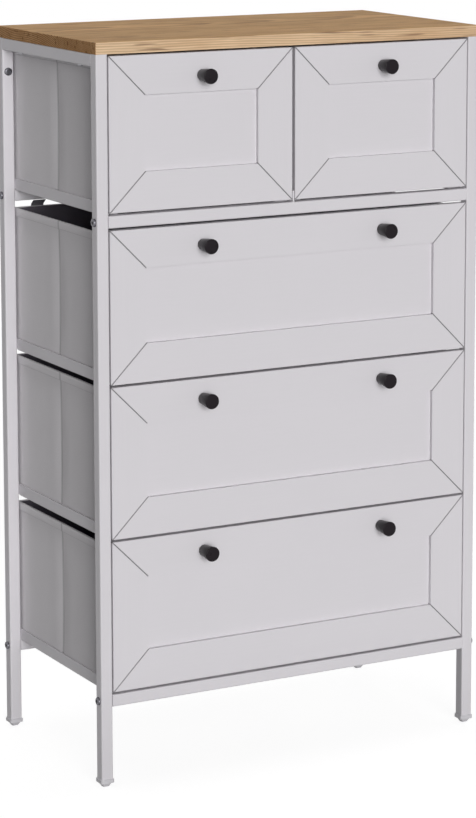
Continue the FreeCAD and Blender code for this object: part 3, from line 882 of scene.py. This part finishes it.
def carve(piece: Piece, cutter: Piece) -> None:
    """Take one piece's volume out of another.

    Args:
        piece: what is cut.
        cutter: what is taken out, which is deleted.
    """
    hold(piece)
    modifier = piece.modifiers.new("carve", "BOOLEAN")
    modifier.object, modifier.operation, modifier.solver = cutter, "DIFFERENCE", "EXACT"
    bpy.ops.object.modifier_apply(modifier=modifier.name)
    bpy.data.objects.remove(cutter)


def dress(finish: Finish, *nodes: str, slot: str) -> None:
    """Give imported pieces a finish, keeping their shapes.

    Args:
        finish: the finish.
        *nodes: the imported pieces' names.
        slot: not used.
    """
    for name in nodes:
        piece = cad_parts[name]
        piece.data.materials.clear()
        piece.data.materials.append(finish.material())
    log.info("%s: %s", finish.title, ", ".join(nodes))


def mount(piece: Piece, body: str, slot: str, *stands_for: str) -> None:
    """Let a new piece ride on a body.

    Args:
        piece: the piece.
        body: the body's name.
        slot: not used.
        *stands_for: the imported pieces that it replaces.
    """
    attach(piece, body)
    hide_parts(*stands_for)
    log.info("%s rides on %s", piece.name, body)


def middle_of(edge: bmesh.types.BMEdge) -> Vector:
    """Return the middle of an edge."""
    return (edge.verts[0].co + edge.verts[1].co) / 2


def is_upright(edge: bmesh.types.BMEdge) -> bool:
    """Tell whether an edge runs along Z."""
    run = edge.verts[1].co - edge.verts[0].co
    return abs(run.z) > ALONG * run.length


def is_ridge(edge: bmesh.types.BMEdge) -> bool:
    """Tell whether an edge is sharp and stands out."""
    return edge.is_convex and edge.calc_face_angle(0.0) > SHARP


def looks_up(face: bmesh.types.BMFace) -> bool:
    """Tell whether a face looks along +Z."""
    return face.normal.z > ALONG


class Hands:
    """Picks parts of the mesh that is open in edit mode, and works on what is picked."""

    def __init__(self, piece: Piece) -> None:
        """Work on a piece that is open in edit mode."""
        self.piece = piece

    def pick(self, kind: str, wanted: Callable[..., bool]) -> None:
        """Pick the mesh's vertices, edges or faces that are wanted.

        Args:
            kind: VERT, EDGE or FACE.
            wanted: tells of one vertex, edge or face whether to pick it.
        """
        bpy.ops.mesh.select_mode(type=kind)
        bpy.ops.mesh.select_all(action="DESELECT")
        mesh = bmesh.from_edit_mesh(self.piece.data)
        for part in {"VERT": mesh.verts, "EDGE": mesh.edges, "FACE": mesh.faces}[kind]:
            part.select_set(wanted(part))
        mesh.select_flush_mode()
        bmesh.update_edit_mesh(self.piece.data)

    points = functools.partialmethod(pick, "VERT")
    edges = functools.partialmethod(pick, "EDGE")
    faces = functools.partialmethod(pick, "FACE")

    def cut(self, axis: int, place: float) -> None:
        """Score the whole mesh straight across.

        Args:
            axis: 0, 1 or 2 for X, Y or Z.
            place: where on that axis.
        """
        bpy.ops.mesh.select_all(action="SELECT")
        point, normal = Vector(), Vector()
        point[axis], normal[axis] = place, 1.0
        bpy.ops.mesh.bisect(plane_co=point, plane_no=normal)

    def extrude(self, x: float = 0.0, y: float = 0.0, z: float = 0.0) -> None:
        """Draw the picked faces out along a move."""
        bpy.ops.mesh.extrude_region_move(TRANSFORM_OT_translate={"value": (x, y, z)})

    def fatten(self, thickness: float) -> None:
        """Draw the picked faces out along their own normals."""
        bpy.ops.mesh.extrude_region_shrink_fatten(TRANSFORM_OT_shrink_fatten={"value": thickness})

    def inset(self, thickness: float) -> None:
        """Frame the picked faces with a border of their own."""
        bpy.ops.mesh.inset(thickness=thickness)

    def move(self, x: float = 0.0, y: float = 0.0, z: float = 0.0) -> None:
        """Move what is picked."""
        bpy.ops.transform.translate(value=(x, y, z))

    def bevel(self, width: float, segments: int) -> None:
        """Round or ease the picked edges."""
        bpy.ops.mesh.bevel(offset=width, segments=segments, affect="EDGES")


@contextmanager
def shaping(piece: Piece) -> Iterator[Hands]:
    """Open a piece in edit mode and close it again.

    Args:
        piece: the piece.

    Yields:
        The hands that work on it.
    """
    hold(piece)
    bpy.ops.object.mode_set(mode="EDIT")
    try:
        yield Hands(piece)
    finally:
        bpy.ops.object.mode_set(mode="OBJECT")


# Fasteners and knobs


@dataclass(frozen=True)
class Fastener:
    """A screw or bolt, its head's seat at the origin, its head along +Z and its shank along -Z."""

    title: str
    long: float
    head: float = 8 * MM
    head_high: float = 2.2 * MM
    crown: float = 0.8 * MM
    shank: float = 4 * MM
    recess: Recess = Recess.CROSS
    recess_wide: float = 4.2 * MM
    recess_deep: float = 1.3 * MM
    sides: int = 40

    def build(self) -> Piece:
        """Model one.

        Returns:
            The fastener.
        """
        half = self.head_high / 2
        sizes = {"vertices": self.sides, "radius": self.head / 2, "depth": self.head_high}
        piece = start(self.title, bpy.ops.mesh.primitive_cylinder_add, **sizes, location=(0.0, 0.0, half))
        with shaping(piece) as hands:
            hands.edges(lambda edge: middle_of(edge).z > self.head_high - TINY)
            hands.bevel(self.crown, segments=4)
            hands.faces(lambda face: face.normal.z < -ALONG)
            hands.inset((self.head - self.shank) / 2)
            hands.extrude(z=-self.long)
            hands.edges(lambda edge: middle_of(edge).z < TINY - self.long)
            hands.bevel(self.shank / 8, segments=1)
        for cutter in self.cutters():
            carve(piece, cutter)
        smooth(piece)
        return piece

    def cutters(self) -> list[Piece]:
        """Model what is taken out of the head.

        Returns:
            One hexagon, or two crossed blades.
        """
        top = Vector((0.0, 0.0, self.head_high))
        if self.recess is Recess.HEXAGON:
            radius, depth = self.recess_wide / math.sqrt(3), 2 * self.recess_deep
            sizes = {"vertices": self.recess.value, "radius": radius, "depth": depth}
            return [start("hexagon", bpy.ops.mesh.primitive_cylinder_add, **sizes, location=top)]
        blade = Vector((self.recess_wide, self.recess_wide / 5, 2 * self.recess_deep)) / 2
        return [block("blade", top - half, top + half) for half in (blade, blade.yxz)]

    def places(self, node: str, towards: Vector) -> list[Vector]:
        """Find the seats of a packed group of equal fasteners, which stand at the corners of its box.

        Args:
            node: the group's name.
            towards: which way the heads stand, along one axis.

        Returns:
            One place for each fastener.
        """
        lanes = []
        for low, high, way in zip(*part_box(node), towards):
            if way:
                lanes.append([(high if way > 0 else low) - way * self.head_high])
            elif high - low < 1.5 * self.head:
                lanes.append([(low + high) / 2])
            else:
                lanes.append([low + self.head / 2, high - self.head / 2])
        return [Vector(place) for place in itertools.product(*lanes)]


@dataclass(frozen=True)
class KnobShape:
    """A straight-tapered knob, narrow at the board, its seat at the origin and its face along +Z."""

    base: float = 14.5 * MM
    face: float = 19.8 * MM
    long: float = 25 * MM
    edge: float = 0.8 * MM
    seat_edge: float = 0.4 * MM
    sides: int = 64

    def build(self) -> Piece:
        """Model one.

        Returns:
            The knob.
        """
        middle = (0.0, 0.0, self.long / 2)
        sizes = {"radius1": self.base / 2, "radius2": self.face / 2, "depth": self.long, "location": middle}
        piece = start("knob_shape", bpy.ops.mesh.primitive_cone_add, vertices=self.sides, **sizes)
        with shaping(piece) as hands:
            hands.edges(lambda edge: middle_of(edge).z > self.long - TINY)
            hands.bevel(self.edge, segments=4)
            hands.edges(lambda edge: middle_of(edge).z < TINY)
            hands.bevel(self.seat_edge, segments=2)
        smooth(piece)
        return piece


FRAME_BOLT = Fastener(
    "frame_bolt",
    long=22 * MM,
    head=10.5 * MM,
    head_high=3 * MM,
    crown=1.5 * MM,
    shank=6 * MM,
    recess=Recess.HEXAGON,
    recess_wide=4 * MM,
    recess_deep=1.8 * MM,
)
TAB_BOLT = replace(FRAME_BOLT, title="tab_bolt", long=24 * MM)
TOP_SCREW = Fastener("top_screw", long=26 * MM)
KNOB_SCREW = Fastener("knob_screw", long=25 * MM)
BOARD_SCREW = Fastener("board_screw", long=11 * MM, head=7 * MM, shank=3.5 * MM, recess_wide=3.6 * MM)


class Stock:
    """The pieces that are modelled once and copied to every place where the dresser has one."""

    def __init__(self) -> None:
        """Start with an empty stock."""
        self.masters: dict[Fastener | KnobShape, Piece] = {}

    def master(self, shape: Fastener | KnobShape) -> Piece:
        """Model a shape unless the stock has it.

        Args:
            shape: what is wanted.

        Returns:
            The one piece of that shape.
        """
        if shape not in self.masters:
            self.masters[shape] = shape.build()
        return self.masters[shape]

    def fit(self, shape: Fastener, node: str, body: str, finish: Finish, *ways: Vector) -> None:
        """Put copies of a fastener where a packed group has them.

        Args:
            shape: the fastener.
            node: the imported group's name.
            body: the body that the copies ride on.
            finish: their finish.
            *ways: which way the heads stand, one copy of each place for each way.
        """
        groups = [copies(self.master(shape), node, shape.places(node, way), way) for way in ways]
        piece = joined(groups, f"{node}_dressed")
        piece.data.materials.append(finish.material())
        mount(piece, body, "zinc", node)

    def clear(self) -> None:
        """Delete the masters."""
        for piece in self.masters.values():
            bpy.data.objects.remove(piece)
        self.masters.clear()


# Sub-assemblies


@dataclass
class FrameAssembly:
    """The steel frame with its runners, feet and fasteners, and the oak top."""

    stock: Stock
    body: str = "frame"

    def build(self) -> None:
        """Dress the frame's pieces and copy its fasteners into place."""
        rows = ("top", "upper", "middle", "lower")
        posts = [f"post_{end}_{side.word}" for end in ("front", "rear") for side in Side]
        rails = [f"{end}_{level}_rail" for end in ("front", "rear") for level in ("mid", "bottom")]
        tubes = [*posts, *rails, *(f"top_rail_{side.word}" for side in Side)]
        runners = [f"runner_{row}_{side.word}" for row in rows for side in Side]
        dress(PAINT, *tubes, *runners, "centre_runner", "wall_tabs", slot="white_paint")
        dress(OAK, "top_panel", slot="wood_top")
        dress(FOOT_PLASTIC, "feet", slot="foot_plastic")
        dress(ZINC, "wall_tab_nuts", slot="zinc")
        left, right = Vector((-1.0, 0.0, 0.0)), Vector((1.0, 0.0, 0.0))
        self.stock.fit(FRAME_BOLT, "frame_bolts", self.body, DARK_ZINC, left, right)
        self.stock.fit(TAB_BOLT, "wall_tab_bolts", self.body, DARK_ZINC, Vector((0.0, -1.0, 0.0)))
        self.stock.fit(TOP_SCREW, "top_screws", self.body, ZINC, Vector((0.0, 0.0, -1.0)))


@dataclass
class FabricBox:
    """The folding box of one drawer: hemmed rim, pressed fold down each side, dark lining."""

    drawer: DrawerName
    hem: float
    bulge: float
    wall: float = 3 * MM
    corner: float = 4 * MM
    rim: float = 0.7 * MM
    ledge: float = 2 * MM
    fold: float = 0.5 * MM
    fold_wide: float = 1.6 * MM
    sink: float = 1.8 * MM
    give_high: float = 0.9
    give_flat: float = 0.4
    rows: int = 6
    side_columns: int = 10
    end_columns: int = 8
    low: Vector = field(init=False)
    high: Vector = field(init=False)
    middle: Vector = field(init=False)
    hem_level: float = field(init=False)

    def __post_init__(self) -> None:
        """Take the box's outside, without its hem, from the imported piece."""
        low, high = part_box(f"{self.drawer.value}_fabric_bin")
        self.low = low + Vector((self.hem, 0.0, 0.0))
        self.high = high - Vector((self.hem, self.hem, 0.0))
        self.middle = (self.low + self.high) / 2
        self.hem_level = self.high.z - HEM_HIGH

    def build(self) -> None:
        """Model the box, map it and give it its two cloths."""
        piece = block(f"{self.drawer.value}_fabric_box", self.low, self.high)
        with shaping(piece) as hands:
            self.open_up(hands)
            self.score(hands)
            self.turn_hem(hands)
            self.soften(hands)
            self.press_folds(hands)
        self.let_bulge(piece)
        self.line(piece)
        self.lay_out(piece)
        smooth(piece)
        mount(piece, f"drawer_{self.drawer.value}", "bin_fabric", f"{self.drawer.value}_fabric_bin")

    def open_up(self, hands: Hands) -> None:
        """Sink the inside of the box and round its upright corners.

        Args:
            hands: what works on the box.
        """
        hands.faces(looks_up)
        hands.inset(self.wall)
        hands.extrude(z=self.low.z + self.wall - self.high.z)

        def at_corner(edge: bmesh.types.BMEdge) -> bool:
            """Tell whether an edge is one of the box's outer corners."""
            low, high = middle_of(edge) - self.low, self.high - middle_of(edge)
            return is_upright(edge) and max(min(low.x, high.x), min(low.y, high.y)) < TINY

        hands.edges(at_corner)
        hands.bevel(self.corner, segments=4)

    def score(self, hands: Hands) -> None:
        """Score the walls at the hem and the folds, and in rows and columns that let them bulge.

        Args:
            hands: what works on the box.
        """
        for row in range(1, self.rows):
            hands.cut(2, self.low.z + (self.hem_level - self.low.z) * row / self.rows)
        hands.cut(2, self.hem_level)
        for column in range(1, self.side_columns):
            if 2 * column != self.side_columns:
                hands.cut(1, self.low.y + (self.high.y - self.low.y) * column / self.side_columns)
        for off in (-self.fold_wide, 0.0, self.fold_wide):
            hands.cut(1, self.middle.y + off)
        for column in range(1, self.end_columns):
            hands.cut(0, self.low.x + (self.high.x - self.low.x) * column / self.end_columns)

    def turn_hem(self, hands: Hands) -> None:
        """Thicken the cloth round the rim, apart from where the board covers it.

        Args:
            hands: what works on the box.
        """

        def on_hem(face: bmesh.types.BMFace) -> bool:
            """Tell whether a face is on the outside of the hem and clear of the board.

            Args:
                face: any face of the box.

            Returns:
                Whether the hem is turned there.
            """
            place = face.calc_center_median()
            outward = face.normal.dot(place - self.middle) > 0 and abs(face.normal.z) < 1 - ALONG
            return outward and place.z > self.hem_level and place.y > self.low.y + self.corner

        def on_ledge(point: bmesh.types.BMVert) -> bool:
            """Tell whether a point is on the hem's lower edge."""
            low, high = self.low - point.co, point.co - self.high
            return max(low.x, high.x, high.y) > TINY and abs(point.co.z - self.hem_level) < TINY

        hands.faces(on_hem)
        hands.fatten(self.hem)
        hands.points(on_ledge)
        hands.move(z=self.ledge)

    def soften(self, hands: Hands) -> None:
        """Soften the rim and the bottom's edges.

        Args:
            hands: what works on the box.
        """
        hands.edges(lambda edge: is_ridge(edge) and middle_of(edge).z > self.high.z - TINY)
        hands.bevel(self.rim, segments=3)
        hands.edges(lambda edge: is_ridge(edge) and middle_of(edge).z < self.low.z + TINY)
        hands.bevel(2 * self.rim, segments=3)

    def press_folds(self, hands: Hands) -> None:
        """Press the fold line into both side walls, from the hem down.

        Args:
            hands: what works on the box.
        """
        for side, wall in ((Side.LEFT, self.low.x), (Side.RIGHT, self.high.x)):

            def on_fold(point: bmesh.types.BMVert) -> bool:
                """Tell whether a point is on the fold of this wall."""
                near = abs(point.co.y - self.middle.y) < TINY and abs(point.co.x - wall) < TINY
                return near and self.low.z + 3 * self.rim < point.co.z < self.hem_level - TINY

            hands.points(on_fold)
            hands.move(x=-side.value * self.fold)

    def let_bulge(self, piece: Piece) -> None:
        """Let the side walls sink towards their folds, and all walls give a little between stiff edges.

        Args:
            piece: the box.
        """
        size, half_deep = self.high - self.low, (self.high.y - self.low.y) / 2
        for vertex in piece.data.vertices:
            place = vertex.co
            off = place - self.low
            lift = max(math.sin(self.give_high * math.pi * off.z / size.z), 0.0) ** self.give_flat
            across = math.sin(math.pi * (off.y % half_deep) / half_deep)
            to_fold = max(1 - abs(place.y - self.middle.y) / half_deep, 0.0)
            along = max(math.sin(math.pi * off.x / size.x), 0.0)
            inward = lift * (self.sink * to_fold + self.bulge * across)
            if place.x < self.low.x + self.wall + TINY:
                place.x += inward
            elif place.x > self.high.x - self.wall - TINY:
                place.x -= inward
            elif place.y > self.high.y - self.wall - TINY:
                place.y -= (self.sink + self.bulge) * lift * along

    def line(self, piece: Piece) -> None:
        """Give the outside and the rim the pale cloth and the inside the lining.

        Args:
            piece: the box.
        """
        piece.data.materials.append(CLOTH.material())
        piece.data.materials.append(LINING.material())
        for face in piece.data.polygons:
            inward = self.middle - face.center
            inward.z = 0.0
            looks_in = abs(face.normal.z) < STANDING and face.normal.dot(inward) > 0
            is_floor = face.normal.z > ALONG and face.center.z < self.middle.z
            on_rim = face.center.z > self.high.z - self.rim
            face.material_index = int((looks_in or is_floor) and not on_rim)

    def lay_out(self, piece: Piece) -> None:
        """Give the box a flat map in metres: the run along each side wall and the height below the rim.

        The other walls, the rim and the bottom lie far enough off that no fold or seam reaches them.

        Args:
            piece: the box.
        """
        mesh = piece.data
        layer = mesh.uv_layers.new(name=FLAT_MAP)
        for face in mesh.polygons:
            for loop in face.loop_indices:
                place = mesh.vertices[mesh.loops[loop].vertex_index].co
                run = place.y if abs(face.normal.x) > abs(face.normal.y) else place.x + AWAY
                lying = abs(face.normal.z) > LYING
                flat = (place.x + AWAY, place.y + AWAY) if lying else (run, place.z - self.high.z)
                layer.data[loop].uv = flat


@dataclass
class StopTabs:
    """The two webbing tabs sewn to the rear rim of the upper wide drawer."""

    node: str = "upper_stop_tabs"
    wide: float = 18 * MM
    thick: float = 1.5 * MM
    sewn: float = 9.6 * MM
    seams: Pair = (2 * MM, 7 * MM)
    lean: float = 9 * MM
    steps: tuple[float, ...] = (0.08, 0.24, 0.34, 0.34)

    def build(self) -> None:
        """Model one strip that leans forward over the rim in an even curve, and copy it to the other side."""
        low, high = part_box(self.node)
        corner = Vector((low.x, high.y - self.thick, low.z))
        strip = block("stop_tab", corner, corner + Vector((self.wide, self.thick, self.sewn)))
        rise = (high.z - low.z - self.sewn) / len(self.steps)
        with shaping(strip) as hands:
            for share in self.steps:
                hands.faces(lambda face: face.normal.z > STANDING)
                hands.extrude(y=-self.lean * share, z=rise)
            hands.edges(is_ridge)
            hands.bevel(self.thick / 5, segments=2)
        finish = replace(WEBBING, seams=tuple(low.z + seam for seam in self.seams))
        strip.data.materials.append(finish.material())
        smooth(strip)
        twin = twin_of(strip)
        twin.location.x = high.x - low.x - self.wide
        pair = joined([strip, settle(twin, "stop_tab")], "stop_tabs")
        mount(pair, "drawer_upper", "webbing", self.node)


@dataclass
class Drawer:
    """One drawer: its board, knobs, fabric box, stiff base and screws."""

    name: DrawerName
    knobs: tuple[str, ...]
    screws: str
    hem: float
    bulge: float
    base_corner: float = 4 * MM
    base_edge: float = 1 * MM

    @property
    def body(self) -> str:
        """The body that all of the drawer's pieces ride on."""
        return f"drawer_{self.name.value}"

    def node(self, piece: str) -> str:
        """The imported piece's full name."""
        return f"{self.name.value}_{piece}"

    def build(self, stock: Stock) -> None:
        """Dress the board, copy the knobs and screws into place and model the soft pieces.

        Args:
            stock: where the knobs and screws are copied from.
        """
        self.face_board()
        for knob in self.knobs:
            self.fit_knob(stock, self.node(knob))
        inside = Vector((0.0, 1.0, 0.0))
        stock.fit(KNOB_SCREW, self.node(self.screws), self.body, ZINC, inside)
        stock.fit(BOARD_SCREW, self.node("panel_screws"), self.body, ZINC, inside)
        FabricBox(self.name, self.hem, self.bulge).build()
        self.cover_base()

    def face_board(self) -> None:
        """Give the board the finish whose grain turns at its own mitres."""
        node = self.node("front_panel")
        low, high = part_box(node)
        middle, half = (low + high) / 2, (high - low) / 2
        title = f"faced_board_{self.name.value}"
        finish = FacedBoard(title, OFF_WHITE, (middle.x, middle.z), (half.x, half.z))
        dress(finish, node, slot="front_board")

    def fit_knob(self, stock: Stock, node: str) -> None:
        """Put a knob where a packed one is.

        Args:
            stock: where it is copied from.
            node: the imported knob's name.
        """
        low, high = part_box(node)
        seat = Vector(((low.x + high.x) / 2, high.y, (low.z + high.z) / 2))
        piece = copies(stock.master(KnobShape()), f"{node}_dressed", [seat], Vector((0.0, -1.0, 0.0)))
        piece.data.materials.append(KNOB_BLACK.material())
        mount(piece, self.body, "black_knob", node)

    def cover_base(self) -> None:
        """Model the stiff base as a board wrapped in lining, with soft edges."""
        node = self.node("base_board")
        piece = block(self.node("base_insert"), *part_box(node))
        with shaping(piece) as hands:
            hands.edges(is_upright)
            hands.bevel(self.base_corner, segments=3)
            hands.edges(is_ridge)
            hands.bevel(self.base_edge, segments=2)
        piece.data.materials.append(LINING.material())
        smooth(piece)
        mount(piece, self.body, "lining", node)


ONE_KNOB, TWO_KNOBS = ("knob",), ("knob_left", "knob_right")
DRAWERS = (
    Drawer(DrawerName.TOP_LEFT, ONE_KNOB, "knob_screw", hem=0.8 * MM, bulge=0.2 * MM),
    Drawer(DrawerName.TOP_RIGHT, ONE_KNOB, "knob_screw", hem=0.8 * MM, bulge=0.3 * MM),
    Drawer(DrawerName.UPPER, TWO_KNOBS, "knob_screws", hem=1 * MM, bulge=0.4 * MM),
    Drawer(DrawerName.MIDDLE, TWO_KNOBS, "knob_screws", hem=1 * MM, bulge=0.5 * MM),
    Drawer(DrawerName.LOWER, TWO_KNOBS, "knob_screws", hem=1 * MM, bulge=0.3 * MM),
)


# Studio


@dataclass(frozen=True)
class Lamp:
    """A wide soft lamp that shines from a direction, its spread in degrees."""

    title: str
    place: Triple
    strength: float
    spread: float

    def hang(self) -> None:
        """Add the lamp."""
        lamp = bpy.data.lights.new(self.title, "SUN")
        lamp.energy = self.strength
        lamp.angle = math.radians(self.spread)
        holder = bpy.data.objects.new(self.title, lamp)
        holder.rotation_euler = Vector(self.place).to_track_quat("Z", "Y").to_euler()
        bpy.context.scene.collection.objects.link(holder)


LAMPS = (
    Lamp("key", (-0.2, -0.967, 0.15), strength=2.52, spread=28.0),
    Lamp("left_fill", (-0.98, 0.1, 0.15), strength=0.12, spread=60.0),
    Lamp("top_light", (-0.1, 0.15, 0.98), strength=0.32, spread=40.0),
    Lamp("right_fill", (0.98, 0.1, 0.15), strength=0.6, spread=60.0),
    Lamp("rear_fill", (0.3, 0.94, 0.12), strength=1.1, spread=50.0),
)


@dataclass
class Studio:
    """Pale floor, soft light and the camera."""

    floor_side: float = 4.0
    floor_seen: Colour = srgb(150, 150, 150)
    floor_unseen: Colour = srgb(160, 160, 160)
    floor_glow: float = 0.87
    ambient: float = 0.145
    camera_place: Triple = (-1.846, -3.4091, 1.2712)
    camera_turn: float = 29.014
    camera_down: float = 8.759
    lens: float = 129.55
    shift: Pair = (-0.0402, -0.21)

    def build(self) -> None:
        """Set up the floor, the world, the lamps and the camera."""
        self.lay_floor()
        self.fill_world()
        for lamp in LAMPS:
            lamp.hang()
        self.place_camera()
        bpy.context.scene.view_settings.view_transform = "Standard"

    def backdrop_share(self, net: Net) -> Socket:
        """Tell the rays that should see a white background from those that light the dresser.

        Args:
            net: the floor's or the world's net.

        Returns:
            1 for the rays that see the background and 0 for the others.
        """
        path = net.add("ShaderNodeLightPath").outputs
        seen = net.maths("MAXIMUM", path["Is Camera Ray"], path["Is Glossy Ray"])
        return net.maths("MAXIMUM", seen, path["Is Transmission Ray"])

    def lay_floor(self) -> None:
        """Lay a pale floor that reads white and keeps a soft shadow."""
        floor = start("studio_floor", bpy.ops.mesh.primitive_plane_add, size=self.floor_side)
        material = bpy.data.materials.new("studio_floor")
        net = Net.of(material)
        share = self.backdrop_share(net)
        colour = net.tint(share, self.floor_unseen, self.floor_seen)
        matt = net.add("ShaderNodeBsdfDiffuse", {"Color": colour}).outputs[0]
        glow = net.add("ShaderNodeEmission", {"Strength": net.times(share, self.floor_glow)}).outputs[0]
        both = net.add("ShaderNodeAddShader", {0: matt, 1: glow}).outputs[0]
        net.add("ShaderNodeOutputMaterial", {0: both})
        floor.data.materials.append(material)

    def fill_world(self) -> None:
        """Light the scene evenly from all round, behind a white background."""
        world = bpy.data.worlds.new("studio_world")
        bpy.context.scene.world = world
        net = Net.of(world)
        strength = net.ranged(self.backdrop_share(net), 0.0, 1.0, self.ambient, 1.0)
        sky = net.add("ShaderNodeBackground", {"Color": WHITE, "Strength": strength}).outputs[0]
        net.add("ShaderNodeOutputWorld", {0: sky})

    def place_camera(self) -> None:
        """Set the camera up, to look down to the right of straight ahead."""
        optics = bpy.data.cameras.new("camera")
        optics.lens = self.lens
        optics.shift_x, optics.shift_y = self.shift
        camera = bpy.data.objects.new("camera", optics)
        camera.location = self.camera_place
        camera.rotation_euler = math.radians(90 - self.camera_down), 0.0, -math.radians(self.camera_turn)
        bpy.context.scene.collection.objects.link(camera)
        bpy.context.scene.camera = camera


def main() -> None:
    """Build every sub-assembly in order."""
    logging.basicConfig(level=logging.INFO, format="%(name)s: %(message)s")
    stock = Stock()
    FrameAssembly(stock).build()
    for drawer in DRAWERS:
        drawer.build(stock)
    StopTabs().build()
    stock.clear()
    Studio().build()


if __name__ == "__main__":
    main()
